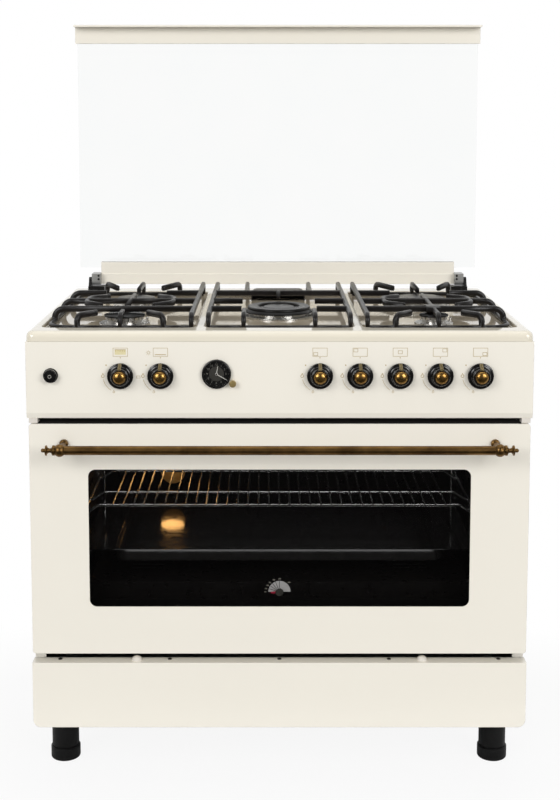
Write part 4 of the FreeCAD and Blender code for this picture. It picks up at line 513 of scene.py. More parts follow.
@dataclass(frozen=True)
class Metal(Finish):
    """Bare or plated metal with drawn grain and worn edges."""

    colour: Rgb
    shade: Rgb
    smooth: float
    dull: float
    grain: Grain = Grain.NONE
    scale: float = 220.0
    relief: float = 0.06
    relief_height: float = 0.0003
    metallic: float = 1.0
    edge: Rgb | None = None
    rounding: float = 0.0006
    cloud_share: float = 0.15
    cloud_span: Span = (0.32, 0.68)

    def make(self) -> bpy.types.Material:
        """Makes the metal's material.

        Returns:
            The material.
        """
        graph = Surface(self.name)
        fine = graph.noise(self.scale, detail=4.0, grain=self.grain)
        cloud = graph.noise(self.scale * self.cloud_share, detail=4.0)
        colour = graph.tone(cloud, self.shade, self.colour, self.cloud_span)
        if self.edge is not None:
            colour = graph.blend(graph.edges(self.rounding), colour, self.edge)
        normal = graph.rounding(self.rounding)
        if self.relief:
            normal = graph.bump(fine, self.relief, self.relief_height, normal)
        return graph.finish({
            "Base Color": colour,
            "Metallic": self.metallic,
            "Roughness": graph.level(fine, self.smooth, self.dull),
            "Normal": normal,
        })


@dataclass(frozen=True)
class Galvanised(Finish):
    """Hot-dipped sheet with zinc spangles."""

    colour: Rgb
    shade: Rgb
    smooth: float = 0.4
    dull: float = 0.48
    metallic: float = 0.85
    spangle_scale: float = 150.0
    spangle_span: Span = (0.1, 0.9)
    rounding: float = 0.0008
    dent: float = 0.04
    dent_scale: float = 160.0
    dent_height: float = 0.0004

    def make(self) -> bpy.types.Material:
        """Makes the spangled material.

        Returns:
            The material.
        """
        graph = Surface(self.name)
        cells = graph.cells(self.spangle_scale, "Color")
        spangle = graph.node("SeparateColor", {"Color": cells}).outputs["Red"]
        dents = graph.noise(self.dent_scale)
        return graph.finish({
            "Base Color": graph.tone(spangle, self.shade, self.colour, self.spangle_span),
            "Metallic": self.metallic,
            "Roughness": graph.level(spangle, self.smooth, self.dull, (0.0, 1.0)),
            "Normal": graph.bump(dents, self.dent, self.dent_height, graph.rounding(self.rounding)),
        })


@dataclass(frozen=True)
class Moulded(Finish):
    """Moulded plastic or rubber with a fine grain."""

    colour: Rgb
    shade: Rgb
    smooth: float
    dull: float
    grain: float = 0.1
    grain_scale: float = 900.0
    grain_height: float = 0.0002
    coat: float = 0.0
    coat_roughness: float = 0.05
    specular: float = 0.5
    rounding: float = 0.0006
    cloud_scale: float = 45.0
    gloss_scale: float = 70.0

    def make(self) -> bpy.types.Material:
        """Makes the moulded material.

        Returns:
            The material.
        """
        graph = Surface(self.name)
        fine = graph.noise(self.grain_scale, detail=2.0)
        return graph.finish({
            "Base Color": graph.tone(graph.noise(self.cloud_scale), self.shade, self.colour),
            "Roughness": graph.level(graph.noise(self.gloss_scale), self.smooth, self.dull),
            "Specular IOR Level": self.specular,
            "Normal": graph.bump(fine, self.grain, self.grain_height, graph.rounding(self.rounding)),
            "Coat Weight": self.coat,
            "Coat Roughness": self.coat_roughness,
        })


@dataclass(frozen=True)
class Wool(Finish):
    """Mineral wool mat of pressed fibres."""

    colour: Rgb
    shade: Rgb
    roughness: float = 0.95
    sheen: float = 0.3
    fibre_scale: float = 350.0
    relief: float = 0.7
    relief_height: float = 0.002

    def make(self) -> bpy.types.Material:
        """Makes the wool's material.

        Returns:
            The material.
        """
        graph = Surface(self.name)
        fibre = graph.noise(self.fibre_scale, detail=6.0, grain=Grain.ALONG_X)
        return graph.finish({
            "Base Color": graph.tone(fibre, self.shade, self.colour),
            "Roughness": self.roughness,
            "Normal": graph.bump(fibre, self.relief, self.relief_height),
            "Sheen Weight": self.sheen,
        })


@dataclass(frozen=True)
class Pane(Finish):
    """Toughened glass with faint smears."""

    tint: Rgb
    smear: Rgb
    smear_scale: ClassVar[float] = 9.0
    gloss_scale: ClassVar[float] = 14.0

    def smeared(self, graph: Surface, smooth: float, dull: float) -> Wiring:
        """Gives the uneven colour and gloss of a pane.

        Args:
            graph: The material's graph.
            smooth: Roughness of the clean glass.
            dull: Roughness of the smears.

        Returns:
            The shader's colour and roughness.
        """
        return {
            "Base Color": graph.tone(graph.noise(self.smear_scale), self.smear, self.tint),
            "Roughness": graph.level(graph.noise(self.gloss_scale, detail=5.0), smooth, dull),
        }


@dataclass(frozen=True)
class ClearGlass(Pane):
    """Glass that bends the light."""

    specular: float = 0.5
    smooth: float = 0.0
    dull: float = 0.012
    ior: float = 1.46

    def make(self) -> bpy.types.Material:
        """Makes the clear glass.

        Returns:
            The material.
        """
        graph = Surface(self.name)
        return graph.finish({
            **self.smeared(graph, self.smooth, self.dull),
            "Transmission Weight": 1.0,
            "IOR": self.ior,
            "Specular IOR Level": self.specular,
        })


@dataclass(frozen=True)
class SmokedGlass(Pane):
    """Dark heat-proof glass that lets part of the light straight through."""

    cover: float
    specular: float = 0.6
    smooth: float = 0.015
    dull: float = 0.04

    def make(self) -> bpy.types.Material:
        """Makes the dark glass.

        Returns:
            The material.
        """
        graph = Surface(self.name)
        return graph.finish({
            **self.smeared(graph, self.smooth, self.dull),
            "Alpha": self.cover,
            "Specular IOR Level": self.specular,
        })


@dataclass(frozen=True)
class Ink(Finish):
    """Printed ink, slightly uneven."""

    colour: Rgb
    shade: Rgb
    roughness: float = 0.4
    uneven: float = 0.15
    grain_scale: float = 600.0

    def make(self) -> bpy.types.Material:
        """Makes the ink.

        Returns:
            The material.
        """
        graph = Surface(self.name)
        grain = graph.noise(self.grain_scale, detail=2.0)
        return graph.finish({
            "Base Color": graph.tone(grain, self.shade, self.colour),
            "Roughness": graph.level(grain, self.roughness, self.roughness + self.uneven),
        })


@dataclass(frozen=True)
class Glow(Finish):
    """Frosted lamp glass lit from within."""

    colour: Rgb
    rim: Rgb
    strength: float
    roughness: float = 0.35
    frost_scale: float = 80.0

    def make(self) -> bpy.types.Material:
        """Makes the glowing glass.

        Returns:
            The material.
        """
        graph = Surface(self.name)
        frosted = graph.tone(graph.noise(self.frost_scale, detail=2.0), self.rim, self.colour)
        return graph.finish({
            "Base Color": frosted,
            "Emission Color": frosted,
            "Emission Strength": self.strength,
            "Roughness": self.roughness,
        })


class Shop:
    """Makes each finish once, and dresses nodes and pieces with them."""

    def __init__(self, frame: Frame) -> None:
        """Keeps the frame whose nodes are dressed."""
        self.nodes: dict[str, bpy.types.Object] = frame["nodes"]
        self.made: dict[str, bpy.types.Material] = {}

    def material(self, finish: Finish) -> bpy.types.Material:
        """Gives the material of a finish, made on first use.

        Args:
            finish: The finish.

        Returns:
            Its material.
        """
        if finish.name not in self.made:
            self.made[finish.name] = finish.make()
        return self.made[finish.name]

    def dress(self, finish: Finish, *names: str) -> None:
        """Gives CAD nodes a finish.

        Args:
            finish: The finish.
            *names: Names of the nodes.
        """
        for name in names:
            for slot in self.nodes[name].material_slots:
                slot.material = self.material(finish)
            LOG.info("node %s wears %s", name, finish.name)

    def settle(self, piece: bpy.types.Object, finish: Finish, body: str, slot: str, *replaced: str) -> None:
        """Gives a new piece its finish and its body.

        Args:
            piece: The new piece, in place.
            finish: Its finish.
            body: The CAD body it moves with.
            slot: The record's material slot; not used.
            *replaced: CAD nodes that it stands for.
        """
        piece.data.materials.append(self.material(finish))
        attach(piece, body)
        if replaced:
            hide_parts(*replaced)
        LOG.info("piece %s rides on %s in %s", piece.name, body, finish.name)


def put(name: str, data: bpy.types.ID) -> bpy.types.Object:
    """Puts an object with that mesh, curve, light or camera into the scene.

    Args:
        name: Name of the object.
        data: What it shows.

    Returns:
        The new object.
    """
    made = bpy.data.objects.new(name, data)
    bpy.context.scene.collection.objects.link(made)
    return made


def area_light(name: str, form: LightForm, size: Point, watts: float, place: Sequence[float],
               turn: Sequence[float]) -> bpy.types.Object:
    """Puts an area light into the scene, which the camera doesn't see.

    Args:
        name: Name of the light.
        form: Its outline.
        size: Its width and height.
        watts: Its power.
        place: Where it hangs.
        turn: Its turns about X, Y and Z in radians, from facing down.

    Returns:
        The light.
    """
    data = bpy.data.lights.new(name, "AREA")
    data.shape = form.value
    data.size, data.size_y = size
    data.energy = watts
    light = put(name, data)
    light.location = place
    light.rotation_euler = turn
    light.visible_camera = False
    return light


def piece_from(name: str, mesh: bmesh.types.BMesh, crease: float = 35.0) -> bpy.types.Object:
    """Turns a bmesh into an object of the scene.

    Args:
        name: Name of the piece.
        mesh: The bmesh, which is freed.
        crease: Angle in degrees above which an edge stays sharp.

    Returns:
        The new object.
    """
    bmesh.ops.recalc_face_normals(mesh, faces=mesh.faces)
    data = bpy.data.meshes.new(name)
    mesh.to_mesh(data)
    mesh.free()
    data.polygons.foreach_set("use_smooth", [True] * len(data.polygons))
    data.set_sharp_from_angle(angle=math.radians(crease))
    return put(name, data)


def add_lathe(mesh: bmesh.types.BMesh, profile: Outline, place: Matrix,
              segments: int = 64) -> list[bmesh.types.BMVert]:
    """Adds a turned form.

    Args:
        mesh: The bmesh that gets the form.
        profile: Radius and height of each ring, in metres.
        place: Matrix from the lathe's axis, +Z, to the frame.
        segments: Number of facets round the axis.

    Returns:
        The vertices of the last ring.
    """
    rings = []
    for radius, height in profile:
        count = 1 if radius == 0 else segments
        ring = []
        for step in range(count):
            angle = math.tau * step / segments
            point = Vector((radius * math.cos(angle), radius * math.sin(angle), height))
            ring.append(mesh.verts.new(place @ point))
        rings.append(ring)
    for low, high in zip(rings, rings[1:]):
        for step in range(segments):
            near = [low[step % len(low)], low[(step + 1) % len(low)]]
            far = [high[(step + 1) % len(high)], high[step % len(high)]]
            corners = list(dict.fromkeys(near + far))
            if len(corners) > 2:
                mesh.faces.new(corners)
    return rings[-1]


def turned(name: str, profile: Outline, place: Matrix, segments: int = 64,
           crease: float = 35.0) -> bpy.types.Object:
    """Makes a piece of one turned form.

    Args:
        name: Name of the piece.
        profile: Radius and height of each ring, in metres.
        place: Matrix from the lathe's axis, +Z, to the frame.
        segments: Number of facets round the axis.
        crease: Angle in degrees above which an edge stays sharp.

    Returns:
        The new piece.
    """
    mesh = bmesh.new()
    add_lathe(mesh, profile, place, segments)
    return piece_from(name, mesh, crease)


def add_walls(mesh: bmesh.types.BMesh, first: Sequence[bmesh.types.BMVert],
              second: Sequence[bmesh.types.BMVert]) -> None:
    """Joins two rings of as many vertices with a row of faces.

    Args:
        mesh: The bmesh that holds the rings.
        first: One ring.
        second: The other ring.
    """
    for step in range(len(first)):
        after = (step + 1) % len(first)
        mesh.faces.new([first[step], first[after], second[after], second[step]])


def add_prism(mesh: bmesh.types.BMesh, outline: Sequence[Vector], depth: Vector) -> None:
    """Adds a closed prism.

    Args:
        mesh: The bmesh that gets the prism.
        outline: Corners of its first face.
        depth: Vector to its second face.
    """
    first = [mesh.verts.new(point) for point in outline]
    second = [mesh.verts.new(point + depth) for point in outline]
    mesh.faces.new(first)
    mesh.faces.new(list(reversed(second)))
    add_walls(mesh, first, second)


@dataclass(frozen=True)
class Screw:
    """A pan-head screw with a cross recess, its outlines as shares of its radius and height."""

    radius: float
    height: float
    profile: Outline = ((0.0, -0.15), (1.0, -0.15), (1.0, 0.25), (0.93, 0.55), (0.8, 0.78), (0.62, 0.93),
                        (0.5, 0.98))
    arm: Outline = ((0.44, -0.1), (0.44, 0.1), (0.1, 0.1))
    recess: float = 0.6
    segments: int = 24

    def piece(self, name: str, places: Iterable[Matrix]) -> bpy.types.Object:
        """Makes a piece of several screws.

        Args:
            name: Name of the piece.
            places: Matrices from each screw's axis to the frame, with its seat at zero.

        Returns:
            The new piece.
        """
        mesh = bmesh.new()
        for place in places:
            self.add(mesh, place)
        return piece_from(name, mesh)

    def add(self, mesh: bmesh.types.BMesh, place: Matrix) -> None:
        """Adds one screw.

        Args:
            mesh: The bmesh that gets the screw.
            place: Matrix from the screw's axis to the frame, with its seat at zero.
        """
        profile = [(self.radius * across, self.height * up) for across, up in self.profile]
        rim = add_lathe(mesh, profile, place, self.segments)
        top = profile[-1][1]
        cross = []
        for quarter in range(4):
            turn = Matrix.Rotation(math.tau * quarter / 4, 4, "Z")
            for x, y in self.arm:
                point = turn @ Vector((x * self.radius, y * self.radius, top))
                cross.append(mesh.verts.new(place @ point))
        drop = place.to_3x3() @ Vector((0.0, 0.0, self.height * self.recess))
        deep = [mesh.verts.new(vert.co - drop) for vert in cross]
        edges = []
        for ring in (rim, cross):
            for pair in zip(ring, ring[1:] + ring[:1]):
                edges.append(mesh.edges.get(pair) or mesh.edges.new(pair))
        bmesh.ops.triangle_fill(mesh, edges=edges, use_beauty=True)
        add_walls(mesh, cross, deep)
        mesh.faces.new(deep)


class Stencil:
    """Flat printed shapes on an upright face that looks to the front."""

    depth: ClassVar[float] = 0.0003
    crease: ClassVar[float] = 20.0
    dot_corners: ClassVar[int] = 24
    arc_step: ClassVar[float] = 5.0
    sharpest_mitre: ClassVar[float] = 0.5
    digit_scale: ClassVar[float] = 1.4
    digit_steps: ClassVar[int] = 3
    flame_stroke: ClassVar[float] = 0.13
    flame_outline: ClassVar[Outline] = ((0.0, -0.5), (0.3, -0.36), (0.36, -0.08), (0.2, 0.18), (0.02, 0.5),
                                        (-0.12, 0.16), (-0.34, -0.08), (-0.3, -0.36))

    def __init__(self, face: float, lift: float = 0.00012) -> None:
        """Starts a stencil.

        Args:
            face: The y of the face that carries the print.
            lift: How far the ink stands proud.
        """
        self.mesh = bmesh.new()
        self.y = face - lift

    def polygon(self, points: Iterable[Point]) -> None:
        """Adds a filled shape from its x and z corners."""
        add_prism(self.mesh, [Vector((x, self.y, z)) for x, z in points], Vector((0, self.depth, 0)))

    def line(self, points: Outline, width: float) -> None:
        """Adds a stroke along points.

        Args:
            points: Its x and z places.
            width: Width of the stroke.
        """
        left, right = [], []
        for step, point in enumerate(points):
            here = Vector(point)
            before = here - Vector(points[step - 1]) if step else Vector(points[1]) - here
            after = Vector(points[step + 1]) - here if step + 1 < len(points) else before
            along = (before.normalized() + after.normalized()).normalized()
            across = Vector((-along.y, along.x)) * width / 2
            stretch = 1 / max(self.sharpest_mitre, along.dot(after.normalized()))
            left.append(tuple(here + across * stretch))
            right.append(tuple(here - across * stretch))
        for step in range(len(points) - 1):
            self.polygon([left[step], left[step + 1], right[step + 1], right[step]])

    def ray(self, centre: Point, span: Span, angle: float, width: float) -> None:
        """Adds a straight stroke between two radii of a dial, at an angle clockwise from the top."""
        self.line([on_dial(centre, radius, angle) for radius in span], width)

    def arc(self, centre: Point, radius: float, angles: Span, width: float) -> None:
        """Adds a curved stroke.

        Args:
            centre: Middle of its circle in x and z.
            radius: Radius of its circle.
            angles: Its start and end in degrees clockwise from the top.
            width: Width of the stroke.
        """
        start, end = angles
        count = int(abs(end - start) / self.arc_step)
        steps = [start + (end - start) * step / count for step in range(count + 1)]
        self.line([on_dial(centre, radius, angle) for angle in steps], width)

    def disc(self, centre: Point, radius: float) -> None:
        """Adds a filled round dot."""
        angles = [360 * step / self.dot_corners for step in range(self.dot_corners)]
        self.polygon([on_dial(centre, radius, angle) for angle in angles])

    def frame(self, centre: Point, size: Point, width: float) -> None:
        """Adds the outline of a rectangle.

        Args:
            centre: Its middle in x and z.
            size: Its width and height.
            width: Width of the stroke.
        """
        across, up = size[0] / 2, size[1] / 2
        corners = [(-across, -up), (across, -up), (across, up), (-across, up)]
        places = [Vector((centre[0] + x, centre[1] + z)) for x, z in corners]
        for first, second in zip(places, places[1:] + places[:1]):
            along = (second - first).normalized() * width / 2
            self.line([tuple(first - along), tuple(second + along)], width)

    def flame(self, centre: Point, height: float) -> None:
        """Adds a small flame with a hollow middle.

        Args:
            centre: Its middle in x and z.
            height: Its height.
        """
        places = [(centre[0] + x * height, centre[1] + z * height) for x, z in self.flame_outline]
        self.line(places + places[:1], height * self.flame_stroke)

    def number(self, word: str, centre: Point, height: float) -> None:
        """Adds a number.

        Args:
            word: The number's digits.
            centre: Its middle in x and z.
            height: Height of its digits.
        """
        letters = bpy.data.curves.new("number", "FONT")
        letters.body = word
        letters.size = height * self.digit_scale
        letters.align_x = "CENTER"
        letters.align_y = "CENTER"
        letters.extrude = self.depth / 2
        letters.resolution_u = self.digit_steps
        carrier = put("number", letters)
        bpy.context.view_layer.update()
        solid = bpy.data.meshes.new_from_object(carrier)
        solid.transform(Facing.FRONT.at(centre[0], self.y, centre[1]))
        self.mesh.from_mesh(solid)
        bpy.data.objects.remove(carrier)
        bpy.data.curves.remove(letters)
        bpy.data.meshes.remove(solid)

    def build(self, name: str) -> bpy.types.Object:
        """Turns the shapes into one piece."""
        return piece_from(name, self.mesh, self.crease)


# Finishes of the cooker's pieces
CREAM = Enamel("cream_enamel", paint(241, 236, 224), paint(240, 235, 223), paint(237, 231, 218),
               smooth=0.24, dull=0.26)
# The hob's third and fourth colours are painted shade in its bowls.
HOB_CREAM = BowlEnamel("hob_enamel", paint(230, 223, 206), paint(228, 221, 204), paint(196, 184, 162),
                       paint(184, 171, 149), middle=(0.0, 0.0236, 0.84), reach=(0.434, 0.253, 0.009))
BLACK_ENAMEL = Enamel("black_enamel", paint(22, 21, 20), paint(15, 14, 14), paint(40, 38, 36),
                      smooth=0.28, dull=0.42, coat=0.05, peel=0.06, rounding=0.0012, specular=0.3)
SUPPORT_ENAMEL = Enamel("support_enamel", paint(24, 21, 20), paint(17, 15, 14), paint(42, 38, 36),
                        smooth=0.3, dull=0.4, coat=0.06, peel=0.08, specular=0.32)
CAP_ENAMEL = Enamel("cap_enamel", paint(24, 23, 23), paint(17, 16, 16), paint(44, 42, 40),
                    smooth=0.26, dull=0.34, coat=0.0, peel=0.02, rounding=0.001, specular=0.22)
OVEN_ENAMEL = SpeckledEnamel("oven_enamel", paint(24, 22, 21), paint(88, 84, 80))
TRAY_ENAMEL = SpeckledEnamel("tray_enamel", paint(28, 27, 26), paint(40, 39, 38), roughness=0.06)
CAST = Metal("cast_aluminium", paint(220, 218, 214), paint(196, 194, 190), 0.24, 0.32, scale=60.0, relief=0.0)
TUBE = Metal("aluminium_tube", paint(196, 196, 196), paint(166, 166, 166), 0.26, 0.4, Grain.ALONG_X)
ZINC = Metal("zinc_grey", paint(182, 182, 180), paint(160, 160, 158), 0.3, 0.42, metallic=0.45)
SCREW_ZINC = Metal("screw_zinc", paint(186, 186, 182), paint(150, 150, 146), 0.25, 0.4)
DARK_SCREW = Metal("dark_screw", paint(58, 54, 50), paint(36, 34, 32), 0.3, 0.45, metallic=0.8)
CHROME = Metal("chrome_wire", paint(240, 240, 240), paint(222, 222, 220), 0.16, 0.26, relief=0.01)
BRONZE = Metal("antique_bronze", paint(138, 106, 62), paint(98, 73, 42), 0.3, 0.42, relief=0.015,
               edge=paint(176, 146, 92), rounding=0.001)
DOME_BRASS = Metal("dome_brass", paint(186, 146, 82), paint(158, 118, 62), 0.24, 0.32, relief=0.0)
COLLAR_BRONZE = Metal("collar_bronze", paint(74, 60, 42), paint(52, 41, 28), 0.3, 0.4, relief=0.01,
                      metallic=0.7, edge=paint(140, 118, 78), rounding=0.0004)
POINTER_BRONZE = Metal("pointer_bronze", paint(128, 114, 82), paint(102, 90, 60), 0.3, 0.42, relief=0.01,
                       metallic=0.6, edge=paint(186, 166, 116), rounding=0.0007)
SET_BRASS = Metal("set_brass", paint(204, 180, 122), paint(176, 150, 94), 0.14, 0.24, relief=0.0,
                  metallic=0.65)
RAW_BRASS = Metal("raw_brass", paint(206, 176, 104), paint(172, 140, 74), 0.22, 0.36)
SHEET_ZINC = Galvanised("galvanised_sheet", paint(196, 198, 200), paint(182, 185, 187))
KNOB_BLACK = Moulded("knob_black", paint(20, 18, 18), paint(13, 12, 12), 0.12, 0.2, grain=0.01, coat=0.5)
CLOCK_BLACK = Moulded("clock_black", paint(26, 25, 24), paint(18, 17, 17), 0.2, 0.34, grain=0.01, coat=0.3)
FOOT_BLACK = Moulded("foot_black", paint(15, 15, 15), paint(10, 10, 10), 0.34, 0.5, specular=0.2)
SEAL_RUBBER = Moulded("seal_rubber", paint(52, 50, 48), paint(34, 33, 32), 0.6, 0.8, grain=0.3)
# Black of the strip on the door's top fold, which darkens the gap under the control panel.
DOOR_TOP_BLACK = Moulded("door_top_black", paint(14, 12, 10), paint(9, 8, 7), 0.7, 0.9, grain=0.2)
BUFFER_PALE = Moulded("buffer_pale", paint(226, 220, 212), paint(214, 208, 198), 0.4, 0.55, grain=0.05)
MINERAL_WOOL = Wool("mineral_wool", paint(206, 196, 160), paint(150, 136, 98))
DOOR_GLASS = SmokedGlass("door_glass", paint(4, 3, 3), paint(6, 5, 5), 0.16)
CLOCK_GLASS = SmokedGlass("clock_glass", paint(30, 30, 30), paint(24, 24, 24), 0.05)
LID_GLASS = ClearGlass("lid_glass", (0.985, 0.99, 0.985), (0.975, 0.985, 0.98), specular=0.35)
LAMP_GLOW = Glow("lamp_glow", (1.0, 0.52, 0.14), (0.9, 0.4, 0.09), 0.1)
GOLD_INK = Ink("gold_ink", paint(186, 164, 112), paint(172, 150, 98))
PALE_GOLD_INK = Ink("pale_gold_ink", paint(226, 216, 172), paint(218, 206, 160))
PALE_INK = Ink("pale_ink", paint(200, 196, 186), paint(176, 172, 162))
FAINT_INK = Ink("faint_ink", paint(126, 124, 116), paint(106, 104, 96))
SCALE_INK = Ink("scale_ink", paint(168, 164, 152), paint(146, 142, 130))
DARK_INK = Ink("dark_ink", paint(44, 43, 42), paint(30, 30, 29))
DIAL_GREY = Ink("dial_grey", paint(62, 60, 54), paint(52, 50, 45))
DIAL_SILVER = Metal("dial_silver", paint(216, 214, 212), paint(196, 194, 192), 0.34, 0.5, metallic=0.15)
HUB_GREY = Metal("hub_grey", paint(66, 64, 58), paint(52, 50, 45), 0.4, 0.55, metallic=0.2)
NEEDLE_RED = Ink("needle_red", paint(196, 34, 70), paint(166, 22, 54))
HAND_PALE = Ink("hand_pale", paint(222, 220, 212), paint(198, 196, 188), roughness=0.3)


@dataclass(frozen=True)
class SoftLamp:
    """A large soft lamp of the studio."""

    name: str
    place: Place
    watts: float
    mirrored: bool = True


@dataclass
class Studio:
    """White floor, soft lamps and a pale room round the cooker."""

    floor_half_width: float = 3.2
    floor_front: float = -0.6
    floor_back: float = 3.4
    paper: Rgb = (0.76, 0.76, 0.76)
    paper_shade: Rgb = (0.74, 0.74, 0.74)
    paper_roughness: float = 0.9
    paper_specular: float = 0.1
    paper_scale: float = 3.0
    shadow_share: float = 0.9
    shadow_reach: Span = (0.7, 1.2)
    shadow_stretch: Place = (1.0, 2.0, 1.0)
    ambient: float = 0.44
    front_gloss: float = 0.04
    gloss_span: Span = (-0.25, 0.35)
    lamp_size: Point = (2.4, 2.4)
    lamp_target: Place = (0.0, 0.0, 0.8)
    lamps: tuple[SoftLamp, ...] = (
        SoftLamp("lamp_left", (-3.1, -4.1, 2.7), 118.0),
        SoftLamp("lamp_right", (3.1, -4.1, 2.6), 118.0),
        SoftLamp("lamp_top", (0.0, -0.2, 3.6), 17.0),
        SoftLamp("lamp_back", (0.6, 4.6, 2.4), 60.0, mirrored=False),
    )

    def build(self) -> None:
        """Builds the floor, the room and the lamps."""
        self.floor()
        self.room()
        for lamp in self.lamps:
            self.hang(lamp)

    def floor(self) -> None:
        """Builds the pale floor, which keeps the cooker's shadow and fades to white round it."""
        half = self.floor_half_width
        corners = [(-half, self.floor_front), (half, self.floor_front), (half, self.floor_back),
                   (-half, self.floor_back)]
        mesh = bmesh.new()
        mesh.faces.new([mesh.verts.new((x, y, 0.0)) for x, y in corners])
        floor = piece_from("studio_floor", mesh)
        graph = Surface("studio_floor")
        paper = graph.tone(graph.noise(self.paper_scale, detail=2.0), self.paper_shade, self.paper)
        graph.finish({
            "Base Color": paper,
            "Roughness": self.paper_roughness,
            "Specular IOR Level": self.paper_specular,
        })
        place = graph.node("NewGeometry").outputs["Position"]
        away = graph.vector("LENGTH", graph.vector("MULTIPLY", place, self.shadow_stretch))
        share = graph.level(away, self.shadow_share, 1.0, self.shadow_reach)
        white = graph.combine("MULTIPLY", graph.looked_at(), share)
        emission = graph.node("Emission", {"Strength": 1.0}).outputs["Emission"]
        mix = graph.node("MixShader", {0: white, 1: graph.shader.outputs["BSDF"], 2: emission})
        graph.wire(graph.tree.nodes["Material Output"], {"Surface": mix.outputs["Shader"]})
        floor.data.materials.append(graph.material)

    def room(self) -> None:
        """Builds the room: white behind, and dim in front for what glossy faces mirror."""
        world = bpy.data.worlds.new("studio_room")
        bpy.context.scene.world = world
        world.use_nodes = True
        graph = Graph(world.node_tree)
        direction = graph.node("TexCoord").outputs["Generated"]
        depth = graph.node("SeparateXYZ", {"Vector": direction}).outputs["Y"]
        gloss = graph.level(depth, self.front_gloss, 1.0, self.gloss_span)
        glossy_ray = graph.node("LightPath").outputs["Is Glossy Ray"]
        unseen = graph.node("Mix", {0: glossy_ray, 2: self.ambient, 3: gloss}).outputs[0]
        strength = graph.node("Mix", {0: graph.looked_at(), 2: unseen, 3: 1.0}).outputs[0]
        background = graph.tree.nodes["Background"]
        graph.wire(background, {"Color": (1.0, 1.0, 1.0, 1.0), "Strength": strength})

    def hang(self, lamp: SoftLamp) -> None:
        """Hangs a lamp that faces the cooker and isn't seen through its glass.

        Args:
            lamp: The lamp.
        """
        way = Vector(self.lamp_target) - Vector(lamp.place)
        turn = way.to_track_quat("-Z", "Y").to_euler()
        light = area_light(lamp.name, LightForm.PANEL, self.lamp_size, lamp.watts, lamp.place, turn)
        light.visible_transmission = False
        light.visible_glossy = lamp.mirrored


@dataclass
class PhotoCamera:
    """Camera at the photograph's place, with the shift that keeps the sides nearly upright."""

    place: Place = (-0.019, -2.593375, 1.229)
    tilt: float = 6.02
    lens: float = 59.92
    sensor: float = 36.0
    shift_x: float = 0.0138
    shift_y: float = -0.18
    sight: float = 60.0

    def build(self) -> None:
        """Places the camera and makes it the scene's own."""
        data = bpy.data.cameras.new("photo_camera")
        data.sensor_width = self.sensor
        data.lens = self.lens
        data.shift_x = self.shift_x
        data.shift_y = self.shift_y
        data.clip_end = self.sight
        camera = put("photo_camera", data)
        camera.location = self.place
        camera.rotation_euler = tilted(90.0 - self.tilt)
        bpy.context.scene.camera = camera


@dataclass
class Cabinet:
    """Outer sheets, feet and the screws that hold the back."""

    screw: Screw = Screw(0.0042, 0.0022)
    screw_inset: float = 0.012
    screw_rows: int = 5
    screw_columns: int = 5

    def build(self, shop: Shop) -> None:
        """Dresses the sheets and puts in the screws.

        Args:
            shop: The shop that dresses them.
        """
        shop.dress(CREAM, "side_panels")
        shop.dress(SHEET_ZINC, "back_panel", "base_pan")
        shop.dress(BLACK_ENAMEL, "front_frame")
        shop.dress(FOOT_BLACK, "feet")
        shop.dress(TUBE, "gas_rail")
        shop.dress(MINERAL_WOOL, "oven_insulation")
        self.back_screws(shop)

    def back_screws(self, shop: Shop) -> None:
        """Puts screws round the edge of the back panel.

        Args:
            shop: The shop that dresses them.
        """
        low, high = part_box("back_panel")
        left, right = low.x + self.screw_inset, high.x - self.screw_inset
        bottom, top = low.z + self.screw_inset, high.z - self.screw_inset
        spots = []
        for row in range(self.screw_rows):
            z = bottom + (top - bottom) * row / (self.screw_rows - 1)
            spots += [(left, z), (right, z)]
        for column in range(1, self.screw_columns - 1):
            x = left + (right - left) * column / (self.screw_columns - 1)
            spots += [(x, bottom), (x, top)]
        places = [Facing.BACK.at(x, high.y, z) for x, z in spots]
        shop.settle(self.screw.piece("back_screws", places), SCREW_ZINC, "cabinet", "galvanised")


